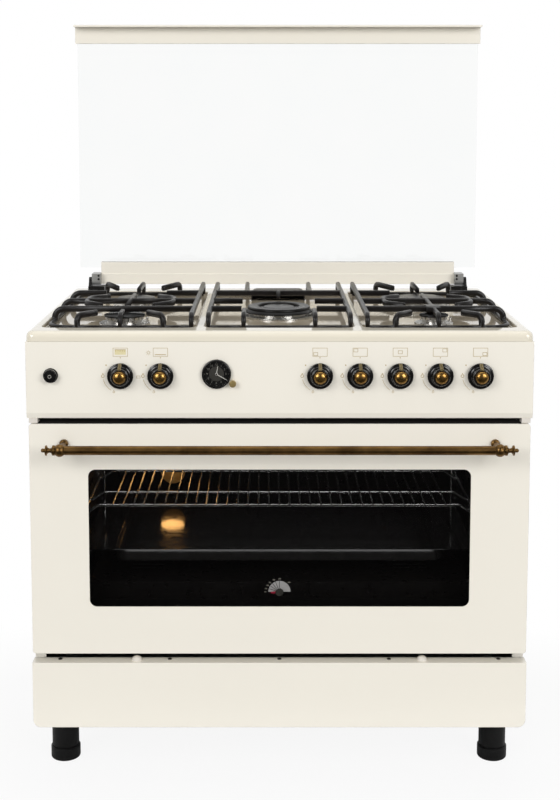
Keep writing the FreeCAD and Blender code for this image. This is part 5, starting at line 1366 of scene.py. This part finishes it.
@dataclass
class Hob:
    """Pressed top, pan supports, burners and flue outlet; the ring's outline is in millimetres."""

    bar_growth: float = 0.0009
    growth_start: float = 0.004
    growth_span: float = 0.008
    weld_distance: float = 0.00001
    wok_y: float = -0.0293
    ring_segments: int = 96
    ring_outline: Outline = ((40.0, -2.5), (40.4, -0.4), (42.0, 0.6), (47.0, 0.3), (53.0, -1.4), (59.0, -4.4),
                             (64.0, -7.6), (65.6, -9.2), (66.0, -10.6), (65.4, -11.4), (63.0, -10.8),
                             (59.6, -8.0), (58.9, -5.0), (40.0, -2.5))

    def build(self, shop: Shop) -> None:
        """Dresses the hob's nodes, and builds the coated pan supports and the centre cap's ring.

        Args:
            shop: The shop that dresses them.
        """
        shop.dress(HOB_CREAM, "hob_top")
        for node in ("pan_support_left", "pan_support_centre", "pan_support_right"):
            self.support(shop, node)
        shop.dress(CAST, "burner_bases", "burner_heads")
        shop.dress(CAP_ENAMEL, "burner_caps")
        shop.dress(BLACK_ENAMEL, "flue_outlet")
        self.wok_ring(shop)

    def support(self, shop: Shop, node: str) -> None:
        """Builds a pan support whose raised bars carry their thick coat of enamel.

        Args:
            shop: The shop that dresses it.
            node: The CAD node of the bare support, which gives the form.
        """
        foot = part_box(node)[0].z + self.growth_start
        mesh = bmesh.new()
        mesh.from_mesh(shop.nodes[node].data)
        bmesh.ops.remove_doubles(mesh, verts=mesh.verts, dist=self.weld_distance)
        bmesh.ops.recalc_face_normals(mesh, faces=mesh.faces)
        mesh.normal_update()
        for vert in mesh.verts:
            share = min(1.0, max(0.0, (vert.co.z - foot) / self.growth_span))
            vert.co += vert.normal * (self.bar_growth * share)
        for face in mesh.faces:
            face.material_index = 0
        shop.settle(piece_from(f"{node}_coated", mesh), SUPPORT_ENAMEL, "cabinet", "support_enamel", node)

    def wok_ring(self, shop: Shop) -> None:
        """Turns the sloping outer ring of the centre burner's cap.

        Args:
            shop: The shop that dresses it.
        """
        place = Facing.UP.at(0.0, self.wok_y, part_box("burner_caps")[1].z)
        ring = turned("wok_cap_ring", metres(self.ring_outline), place, self.ring_segments)
        shop.settle(ring, CAP_ENAMEL, "cabinet", "black_enamel")


@dataclass
class Knob:
    """A turned black knob with a brass dome and a brass pointer, its sizes in millimetres."""

    name: str
    place: Matrix
    crease: float = 40.0
    skirt_outline: Outline = ((0.0, 4.5), (20.4, 4.5), (22.4, 4.8), (23.05, 5.4), (23.25, 6.3), (23.2, 7.3),
                              (22.8, 8.1), (22.0, 8.6), (20.4, 8.85), (18.9, 9.1), (17.7, 9.7), (16.9, 10.7),
                              (16.4, 12.2), (15.9, 15.0), (15.5, 18.0), (15.2, 20.0), (14.7, 21.1),
                              (13.9, 21.5), (11.6, 21.5), (11.2, 20.6), (0.0, 20.6))
    collar_outline: Outline = ((11.3, 21.3), (11.4, 22.1), (11.7, 22.4), (12.1, 22.4), (12.4, 22.1),
                               (12.5, 21.3), (11.3, 21.3))
    dome_foot: Outline = ((0.0, 20.8), (11.1, 20.8), (11.1, 22.6))
    dome_radius: float = 10.9
    dome_low: float = 23.2
    dome_rise: float = 5.3
    pointer_width: float = 6.2
    pointer_crease: float = 30.0
    pointer_top: Outline = ((23.0, 8.2), (22.9, 10.0), (22.2, 11.3), (20.6, 13.4), (18.3, 18.0), (16.9, 21.4),
                            (16.2, 22.3), (15.2, 22.7), (13.2, 22.8), (12.8, 22.2))
    pointer_foot: Outline = ((20.8, 8.2), (20.4, 8.6), (19.6, 8.9), (18.2, 9.3), (16.6, 12.0), (15.6, 17.0),
                             (15.0, 19.6), (14.4, 20.6), (13.6, 21.0), (12.9, 21.2))
    pointer_section: Outline = ((-1.0, 0.0), (-1.0, 0.75), (-0.82, 1.0), (-0.2, 1.0), (-0.1, 0.72),
                                (0.1, 0.72), (0.2, 1.0), (0.82, 1.0), (1.0, 0.75), (1.0, 0.0))

    def build(self, shop: Shop, node: str) -> None:
        """Builds the knob in the place of its CAD node.

        Args:
            shop: The shop that dresses it.
            node: The CAD node.
        """
        body = f"{node}_body"
        dome_outline = [*self.dome_foot, *dome(self.dome_radius, self.dome_low, self.dome_rise)]
        shop.settle(self.turn("skirt", self.skirt_outline), KNOB_BLACK, body, "knob_black", node)
        shop.settle(self.turn("collar", self.collar_outline), COLLAR_BRONZE, body, "bronze")
        shop.settle(self.turn("dome", dome_outline), DOME_BRASS, body, "bronze")
        shop.settle(self.pointer(), POINTER_BRONZE, body, "bronze")

    def turn(self, part: str, outline: Outline) -> bpy.types.Object:
        """Turns one part of the knob."""
        return turned(f"{self.name}_{part}", metres(outline), self.place, crease=self.crease)

    def pointer(self) -> bpy.types.Object:
        """Builds the pointer bar from the rim of the skirt over the hub, with a groove along its middle.

        Returns:
            The pointer.
        """
        mesh = bmesh.new()
        rings = []
        for outer, inner in zip(self.pointer_top, self.pointer_foot):
            ring = []
            for across, share in self.pointer_section:
                radius, height = Vector(inner).lerp(Vector(outer), share)
                point = Vector((across * self.pointer_width / 2, radius, height)) / MM_IN_METRE
                ring.append(mesh.verts.new(self.place @ point))
            rings.append(ring)
        for near, far in zip(rings, rings[1:]):
            add_walls(mesh, near, far)
        mesh.faces.new(rings[0])
        mesh.faces.new(rings[-1])
        return piece_from(f"{self.name}_pointer", mesh, self.pointer_crease)


class Burner(Enum):
    """Where a burner stands in the small plan printed over its knob, in x and z shares."""

    FRONT_LEFT = (-0.3, -0.22)
    REAR_LEFT = (-0.3, 0.22)
    CENTRE = (0.0, 0.0)
    REAR_RIGHT = (0.3, 0.22)
    FRONT_RIGHT = (0.3, -0.22)


@dataclass
class PanelMarks:
    """Printed marks round the knobs and the small plans over them."""

    face: float
    stroke: float = 0.0007
    heavy_stroke: float = 0.0012
    mark_radius: float = 0.0315
    dot_angle: float = -54.0
    dot_radius: float = 0.0012
    flame_angles: Span = (-90.0, -157.0)
    flame_heights: Span = (0.0075, 0.005)
    arc_angles: Span = (-103.0, -147.0)
    plan_rise: float = 0.0418
    plan_size: Point = (0.0255, 0.0148)
    spot_size: Point = (0.0072, 0.0055)
    tick_gap: float = 0.0016
    tick_half: float = 0.0011
    tick_drop: float = 0.0026
    sign_inset: Point = (0.0028, 0.003)
    fill_lift: float = 0.00006
    tooth_shares: tuple[float, ...] = (-0.8, -0.4, 0.0, 0.4, 0.8)
    tooth_drops: Span = (0.0012, 0.0034)
    lamp_gap: float = 0.0085
    lamp_drop: float = 0.001
    lamp_radius: float = 0.0022
    beam_count: int = 8
    beam_span: Span = (0.0032, 0.0048)
    beam_stroke: float = 0.0005
    bar_angle: float = 95.0
    bar_size: Point = (0.0062, 0.0038)
    bar_stroke: float = 0.0006

    def gas_marks(self, stencil: Stencil, axis: Point) -> None:
        """Prints the off dot, the two flames and the arc between them round a knob.

        Args:
            stencil: The stencil that gets the marks.
            axis: The knob's x and z.
        """
        stencil.disc(on_dial(axis, self.mark_radius, self.dot_angle), self.dot_radius)
        for angle, height in zip(self.flame_angles, self.flame_heights):
            stencil.flame(on_dial(axis, self.mark_radius, angle), height)
        stencil.arc(axis, self.mark_radius, self.arc_angles, self.stroke)

    def plan(self, stencil: Stencil, axis: Point) -> Point:
        """Prints the frame of a small plan over a knob and the tick under it.

        Args:
            stencil: The stencil that gets the plan.
            axis: The knob's x and z.

        Returns:
            The plan's middle.
        """
        x, z = axis[0], axis[1] + self.plan_rise
        stencil.frame((x, z), self.plan_size, self.stroke)
        low = z - self.plan_size[1] / 2 - self.tick_gap
        stencil.polygon([(x - self.tick_half, low), (x, low - self.tick_drop), (x + self.tick_half, low)])
        return x, z

    def burner(self, shop: Shop, count: int, burner: Burner, axis: Point) -> None:
        """Prints one burner knob's marks.

        Args:
            shop: The shop that dresses them.
            count: Number of the burner.
            burner: Where it stands on the hob.
            axis: The knob's x and z.
        """
        stencil = Stencil(self.face)
        self.gas_marks(stencil, axis)
        x, z = self.plan(stencil, axis)
        share_x, share_z = burner.value
        spot = (x + share_x * self.plan_size[0], z + share_z * self.plan_size[1])
        stencil.frame(spot, self.spot_size, self.stroke)
        shop.settle(stencil.build(f"burner_{count}_marks"), GOLD_INK, "cabinet", "bronze")

    def oven(self, shop: Shop, grill_axis: Point, oven_axis: Point) -> None:
        """Prints the marks of the grill and oven knobs.

        Args:
            shop: The shop that dresses them.
            grill_axis: The grill knob's x and z.
            oven_axis: The oven knob's x and z.
        """
        stencil = Stencil(self.face)
        self.gas_marks(stencil, grill_axis)
        grill_x, _ = self.plan(stencil, grill_axis)
        self.gas_marks(stencil, oven_axis)
        oven_x, z = self.plan(stencil, oven_axis)
        half = self.plan_size[0] / 2 - self.sign_inset[0]
        top = z + self.plan_size[1] / 2 - self.sign_inset[1]
        low = z - self.plan_size[1] / 2 + self.sign_inset[1]
        left, right = grill_x - half, grill_x + half
        fill = Stencil(self.face, self.fill_lift)
        fill.polygon([(left, low), (right, low), (right, top), (left, top)])
        shop.settle(fill.build("grill_mark_fill"), PALE_GOLD_INK, "cabinet", "bronze")
        stencil.line([(left, top), (right, top)], self.heavy_stroke)
        for share in self.tooth_shares:
            x = grill_x + half * share
            stencil.line([(x, top - drop) for drop in self.tooth_drops], self.stroke)
        stencil.line([(oven_x - half, low), (oven_x + half, low)], self.heavy_stroke)
        lamp = (oven_x - self.plan_size[0] / 2 - self.lamp_gap, z - self.lamp_drop)
        stencil.arc(lamp, self.lamp_radius, (-180.0, 180.0), self.stroke)
        for step in range(self.beam_count):
            stencil.ray(lamp, self.beam_span, 360 * step / self.beam_count, self.beam_stroke)
        stencil.frame(on_dial(grill_axis, self.mark_radius, self.bar_angle), self.bar_size, self.bar_stroke)
        shop.settle(stencil.build("oven_marks"), GOLD_INK, "cabinet", "bronze")


@dataclass
class Clock:
    """Round clock with its printed dial and its glass; the turned outlines are in millimetres."""

    face: float
    dial_lift: float = 0.001
    print_lift: float = 0.0001
    hours: int = 12
    tick_span: Span = (0.0203, 0.0218)
    tick_width: float = 0.0007
    number_radius: float = 0.0166
    number_height: float = 0.0038
    centre_outline: Outline = ((0.0, -0.1), (13.2, -0.1), (13.2, 0.06), (12.936, 0.1), (0.0, 0.1))
    glass_outline: Outline = ((0.0, 4.9), (22.6, 4.9), (22.6, 5.5), (18.08, 5.9), (9.04, 6.1), (0.0, 6.2))

    def build(self, shop: Shop) -> None:
        """Dresses the clock, prints its dial and sets its glass in the bezel.

        Args:
            shop: The shop that dresses it.
        """
        shop.dress(CLOCK_BLACK, "clock_case")
        shop.dress(HAND_PALE, "clock_hour_hand", "clock_minute_hand")
        shop.dress(SET_BRASS, "clock_set_knob")
        axis = axis_of("clock_case")
        dial = self.face - self.dial_lift
        stencil = Stencil(dial, self.print_lift)
        angles = [360 * hour / self.hours for hour in range(self.hours)]
        for angle in angles:
            stencil.ray(axis, self.tick_span, angle, self.tick_width)
        for hour, angle in enumerate(angles[1:] + [360.0], start=1):
            stencil.number(str(hour), on_dial(axis, self.number_radius, angle), self.number_height)
        shop.settle(stencil.build("clock_dial_marks"), FAINT_INK, "cabinet", "hand_pale")
        place = Facing.FRONT.at(axis[0], dial, axis[1])
        centre = turned("clock_dial_centre", metres(self.centre_outline), place)
        shop.settle(centre, DIAL_GREY, "cabinet", "clock_black")
        place = Facing.FRONT.at(axis[0], self.face, axis[1])
        glass = turned("clock_glass", metres(self.glass_outline), place)
        shop.settle(glass, CLOCK_GLASS, "cabinet", "lamp_glass")


@dataclass
class IgnitionButton:
    """Ignition button with the bezel round it and the ring on its face, their outlines in millimetres."""

    face: float
    bezel_outline: Outline = ((11.4, -0.4), (11.4, 1.9), (11.8, 2.5), (12.4, 2.6), (13.1, 2.0), (13.3, 1.1),
                              (13.3, -0.4), (11.4, -0.4))
    ring_outline: Outline = ((2.3, -0.4), (2.5, 0.3), (3.1, 0.3), (3.3, -0.4), (2.3, -0.4))
    ring_segments: int = 40

    def build(self, shop: Shop) -> None:
        """Dresses the button and builds its bezel and ring.

        Args:
            shop: The shop that dresses them.
        """
        shop.dress(KNOB_BLACK, "ignition_button")
        x, z = axis_of("ignition_button")
        bezel = turned("button_bezel", metres(self.bezel_outline), Facing.FRONT.at(x, self.face, z))
        shop.settle(bezel, KNOB_BLACK, "cabinet", "knob_black")
        place = Facing.FRONT.at(x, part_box("ignition_button")[0].y, z)
        ring = turned("button_ring", metres(self.ring_outline), place, self.ring_segments)
        shop.settle(ring, PALE_INK, "button", "hand_pale")


@dataclass
class ControlPanel:
    """Front panel with its knobs, printed marks, clock and ignition button."""

    def build(self, shop: Shop) -> None:
        """Dresses the panel and builds what is on it.

        Args:
            shop: The shop that dresses it.
        """
        shop.dress(CREAM, "control_panel")
        burner_spindles = [f"burner_spindle_{count}" for count in range(1, len(Burner) + 1)]
        shop.dress(RAW_BRASS, "oven_spindle", "grill_spindle", *burner_spindles)
        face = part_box("control_panel")[0].y
        marks = PanelMarks(face)
        grill_axis = self.knob(shop, "grill", "grill_knob", face)
        oven_axis = self.knob(shop, "oven", "oven_knob", face)
        marks.oven(shop, grill_axis, oven_axis)
        for count, burner in enumerate(Burner, start=1):
            axis = self.knob(shop, f"burner_{count}", f"burner_knob_{count}", face)
            marks.burner(shop, count, burner, axis)
        Clock(face).build(shop)
        IgnitionButton(face).build(shop)

    def knob(self, shop: Shop, name: str, node: str, face: float) -> Point:
        """Builds one knob.

        Args:
            shop: The shop that dresses it.
            name: What the knob turns.
            node: Its CAD node.
            face: The y of the panel's face.

        Returns:
            The x and z of the knob's axis.
        """
        axis = axis_of(node)
        Knob(name, Facing.FRONT.at(axis[0], face, axis[1])).build(shop, node)
        return axis


@dataclass
class Oven:
    """Cavity, burners, shelf, tray and the lit lamp."""

    lamp_colour: Rgb = (1.0, 0.52, 0.16)
    lamp_size: Point = (0.05, 0.022)
    lamp_gap: float = 0.006
    lamp_watts: float = 0.028
    lamp_tilt: float = -90.0
    gleam_gap: float = 0.02
    gleam_rise: float = 0.05
    gleam_watts: float = 0.03
    gleam_tilt: float = -60.0
    fill_gap: float = 0.05
    fill_drop: float = 0.032
    fill_size: Point = (0.7, 0.03)
    fill_watts: float = 0.3
    fill_tilt: float = 20.0
    band_gap: float = 0.004
    band_size: Point = (0.62, 0.008)
    band_watts: float = 0.06
    band_tilt: float = 90.0

    def build(self, shop: Shop) -> None:
        """Dresses the oven and lights its lamp.

        Args:
            shop: The shop that dresses it.
        """
        shop.dress(OVEN_ENAMEL, "oven_cavity", "oven_floor_plate")
        shop.dress(TRAY_ENAMEL, "baking_tray")
        shop.dress(CHROME, "shelf_racks", "oven_shelf")
        shop.dress(TUBE, "oven_burner", "grill_burner")
        shop.dress(SEAL_RUBBER, "door_seal")
        shop.dress(LAMP_GLOW, "oven_lamp")
        self.daylight()
        self.lamplight()

    def daylight(self) -> None:
        """Lights the cavity's front and the tray's front wall, as the day through the door glass does."""
        low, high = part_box("oven_cavity")
        place = (0.0, low.y + self.fill_gap, high.z - self.fill_drop)
        turn = tilted(self.fill_tilt)
        fill = area_light("oven_fill", LightForm.PANEL, self.fill_size, self.fill_watts, place, turn)
        fill.visible_transmission = False
        low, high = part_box("baking_tray")
        place = (0.0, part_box("door_liner")[1].y + self.band_gap, (low.z + high.z) / 2)
        turn = tilted(self.band_tilt)
        area_light("tray_light", LightForm.PANEL, self.band_size, self.band_watts, place, turn)

    def lamplight(self) -> None:
        """Puts a warm light before the lamp's glass, and one above the shelf for its gleam on the bars."""
        low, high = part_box("oven_lamp")
        middle = (low + high) / 2
        shelf_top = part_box("oven_shelf")[1].z
        glass_side = (middle.x, low.y - self.lamp_gap, middle.z)
        over_shelf = (middle.x, low.y - self.gleam_gap, shelf_top + self.gleam_rise)
        for name, watts, place, tilt in (("oven_light", self.lamp_watts, glass_side, self.lamp_tilt),
                                         ("shelf_gleam", self.gleam_watts, over_shelf, self.gleam_tilt)):
            light = area_light(name, LightForm.OVAL, self.lamp_size, watts, place, tilted(tilt))
            light.data.color = self.lamp_colour


@dataclass
class Thermometer:
    """Half-round dial thermometer behind the door glass."""

    dial_depth: float = 0.004
    dial_radius: float = 0.02
    dial_thickness: float = 0.001
    dial_facets: int = 48
    hub_radius: float = 0.0072
    hub_edge: float = 0.0004
    hub_edge_share: float = 0.9
    hub_thickness: float = 0.0016
    hub_segments: int = 48
    post_radius: float = 0.003
    stem_radius: float = 0.004
    print_lift: float = 0.0001
    line_angles: tuple[float, ...] = (-74.0, -57.0, -40.0, -21.0, 0.0)
    line_end: float = 0.0198
    line_width: float = 0.001
    number_angles: tuple[float, ...] = (-87.0, -74.0, -59.0, -43.0, -24.0, 0.0, 42.0)
    numbers: tuple[int, ...] = (50, 100, 120, 150, 180, 200, 300)
    number_radius: float = 0.0256
    number_height: float = 0.0024

    def build(self, shop: Shop) -> None:
        """Builds the dial with its hub, and prints its lines and numbers.

        Args:
            shop: The shop that dresses them.
        """
        shop.dress(NEEDLE_RED, "thermometer_needle")
        low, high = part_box("thermometer_case")
        face = low.y + self.dial_depth
        axis = (0.0, high.z - self.dial_radius)
        self.dial(shop, axis, face)
        self.hub(shop, axis, face, (low.y, high.y))
        lines = Stencil(face, self.print_lift)
        for angle in self.line_angles:
            lines.ray(axis, (self.hub_radius, self.line_end), angle, self.line_width)
        shop.settle(lines.build("thermometer_lines"), DARK_INK, "door", "dial_silver")
        scale = Stencil(low.y, self.print_lift)
        for angle, number in zip(self.number_angles, self.numbers):
            scale.number(str(number), on_dial(axis, self.number_radius, angle), self.number_height)
        shop.settle(scale.build("thermometer_numbers"), SCALE_INK, "door", "dial_silver")

    def dial(self, shop: Shop, axis: Point, face: float) -> None:
        """Builds the half-round dial in the place of the CAD case.

        Args:
            shop: The shop that dresses it.
            axis: The needle's x and z.
            face: The y of the dial's face.
        """
        angles = [180 * (step / self.dial_facets - 0.5) for step in range(self.dial_facets + 1)]
        rim = [on_dial(axis, self.dial_radius, angle) for angle in angles]
        mesh = bmesh.new()
        add_prism(mesh, [Vector((x, face, z)) for x, z in rim], Vector((0.0, self.dial_thickness, 0.0)))
        dial = piece_from("thermometer_dial", mesh)
        shop.settle(dial, DIAL_SILVER, "door", "dial_silver", "thermometer_case")

    def hub(self, shop: Shop, axis: Point, face: float, reach: Span) -> None:
        """Turns the hub over the needle, with its post and the stem behind the dial.

        Args:
            shop: The shop that dresses it.
            axis: The needle's x and z.
            face: The y of the dial's face.
            reach: The y of the hub's front and of the stem's back.
        """
        front, back = face - reach[0], face - reach[1]
        under = front - self.hub_thickness
        rim, post, stem = self.hub_radius, self.post_radius, self.stem_radius
        outline = [(0.0, front), (rim * self.hub_edge_share, front), (rim, front - self.hub_edge),
                   (rim, under), (post, under), (post, 0.0), (stem, 0.0), (stem, back), (0.0, back)]
        hub = turned("thermometer_hub", outline, Facing.FRONT.at(axis[0], face, axis[1]), self.hub_segments)
        shop.settle(hub, HUB_GREY, "door", "dial_silver")


@dataclass
class OvenDoor:
    """Door skin, glass, handle and dial thermometer, with the strip and blocks over the door."""

    strip_inset: float = 0.0025
    strip_height: float = 0.001
    strip_lip_share: float = 0.6
    strip_end: float = 0.016
    block_width: float = 0.0155
    block_depth: float = 0.02
    block_clearance: float = 0.0012
    rib_share: float = 0.82
    rib_depth: float = 0.0004

    def build(self, shop: Shop) -> None:
        """Dresses the door, builds its thermometer and fits the strip and blocks over it.

        Args:
            shop: The shop that dresses it.
        """
        shop.dress(CREAM, "door_panel")
        shop.dress(BLACK_ENAMEL, "door_liner")
        shop.dress(DOOR_GLASS, "door_glass")
        shop.dress(SHEET_ZINC, "door_hinges", "door_hinge_brackets")
        shop.dress(BRONZE, "handle_bar", "handle_ends")
        Thermometer().build(shop)
        self.top_strip(shop)
        self.end_blocks(shop)

    def top_strip(self, shop: Shop) -> None:
        """Lays a black strip on the door's top fold, which darkens the gap under the control panel.

        Args:
            shop: The shop that dresses it.
        """
        low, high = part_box("door_panel")
        left, right = low.x + self.strip_end, high.x - self.strip_end
        front, back = low.y + self.strip_inset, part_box("door_liner")[1].y
        rise = self.strip_height
        section = [(front, 0.0), (front, rise * self.strip_lip_share), (front + rise, rise),
                   (back - rise, rise), (back, 0.0)]
        outline = [Vector((left, y, high.z + up)) for y, up in section]
        mesh = bmesh.new()
        add_prism(mesh, outline, Vector((right - left, 0.0, 0.0)))
        shop.settle(piece_from("door_top_strip", mesh), DOOR_TOP_BLACK, "door", "seal_rubber")

    def end_blocks(self, shop: Shop) -> None:
        """Hangs the two pale end blocks under the control panel, each with a thin rib on its inner edge.

        Args:
            shop: The shop that dresses them.
        """
        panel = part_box("control_panel")[0]
        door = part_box("door_panel")[1]
        front = panel.y + self.strip_inset
        low, high = door.z + self.block_clearance, panel.z
        mesh = bmesh.new()
        for side in BOTH_SIDES:
            inner = side * (door.x - self.block_width)
            rib = side * (door.x - self.block_width * self.rib_share)
            for outer, y, depth in ((side * door.x, front, self.block_depth),
                                    (rib, front - self.rib_depth, self.rib_depth)):
                corners = [(outer, low), (inner, low), (inner, high), (outer, high)]
                add_prism(mesh, [Vector((x, y, z)) for x, z in corners], Vector((0.0, depth, 0.0)))
        shop.settle(piece_from("panel_end_blocks", mesh), BUFFER_PALE, "cabinet", "hinge_grey")


@dataclass
class Drawer:
    """Storage drawer front and box."""

    screw: Screw = Screw(0.0038, 0.002)
    screw_x: tuple[float, ...] = (-0.4, -0.2, 0.0, 0.2, 0.4)
    buffer_x: float = 0.26
    buffer_radius: float = 0.0095
    buffer_height: float = 0.0075
    buffer_sink: float = 0.0003
    buffer_segments: int = 40

    def build(self, shop: Shop) -> None:
        """Dresses the drawer, and puts the screws and buffers on its top fold.

        Args:
            shop: The shop that dresses it.
        """
        shop.dress(CREAM, "drawer_front")
        shop.dress(SHEET_ZINC, "drawer_box")
        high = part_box("drawer_front")[1]
        places = [Facing.UP.at(x, high.y - self.screw.radius * 2, high.z) for x in self.screw_x]
        shop.settle(self.screw.piece("drawer_screws", places), DARK_SCREW, "drawer", "galvanised")
        radius, sink = self.buffer_radius, self.buffer_sink
        outline = [(0.0, -sink), (radius, -sink), *dome(radius, 0.0, self.buffer_height)]
        mesh = bmesh.new()
        for side in BOTH_SIDES:
            place = Facing.UP.at(side * self.buffer_x, high.y - radius, high.z)
            add_lathe(mesh, outline, place, self.buffer_segments)
        shop.settle(piece_from("drawer_buffers", mesh), BUFFER_PALE, "drawer", "seal_rubber")


@dataclass
class Lid:
    """Raised glass lid with its trim and hinges."""

    screw: Screw = Screw(0.0024, 0.0014)
    screw_inset: float = 0.0042
    screw_drops: Span = (0.004, 0.0115)

    def build(self, shop: Shop) -> None:
        """Dresses the lid and its hinges, and screws its rail to the arms.

        Args:
            shop: The shop that dresses it.
        """
        shop.dress(LID_GLASS, "lid_glass")
        shop.dress(CREAM, "lid_top_trim", "lid_hinge_rail")
        shop.dress(ZINC, "lid_hinge_arms")
        shop.dress(BLACK_ENAMEL, "lid_hinge_bases")
        low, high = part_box("lid_hinge_arms")
        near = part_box("lid_hinge_rail")[1].x + self.screw_inset
        places = [Facing.FRONT.at(side * near, low.y, high.z - drop)
                  for side in BOTH_SIDES for drop in self.screw_drops]
        shop.settle(self.screw.piece("lid_arm_screws", places), DARK_SCREW, "lid", "hinge_grey")


def main() -> None:
    """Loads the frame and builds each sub-assembly in order."""
    logging.basicConfig(level=logging.INFO, format="%(name)s: %(message)s")
    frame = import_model()
    bpy.context.scene.view_settings.view_transform = "Standard"
    PhotoCamera().build()
    Studio().build()
    shop = Shop(frame)
    for assembly in (Cabinet(), Hob(), ControlPanel(), Oven(), OvenDoor(), Drawer(), Lid()):
        assembly.build(shop)


if __name__ == "__main__":
    main()
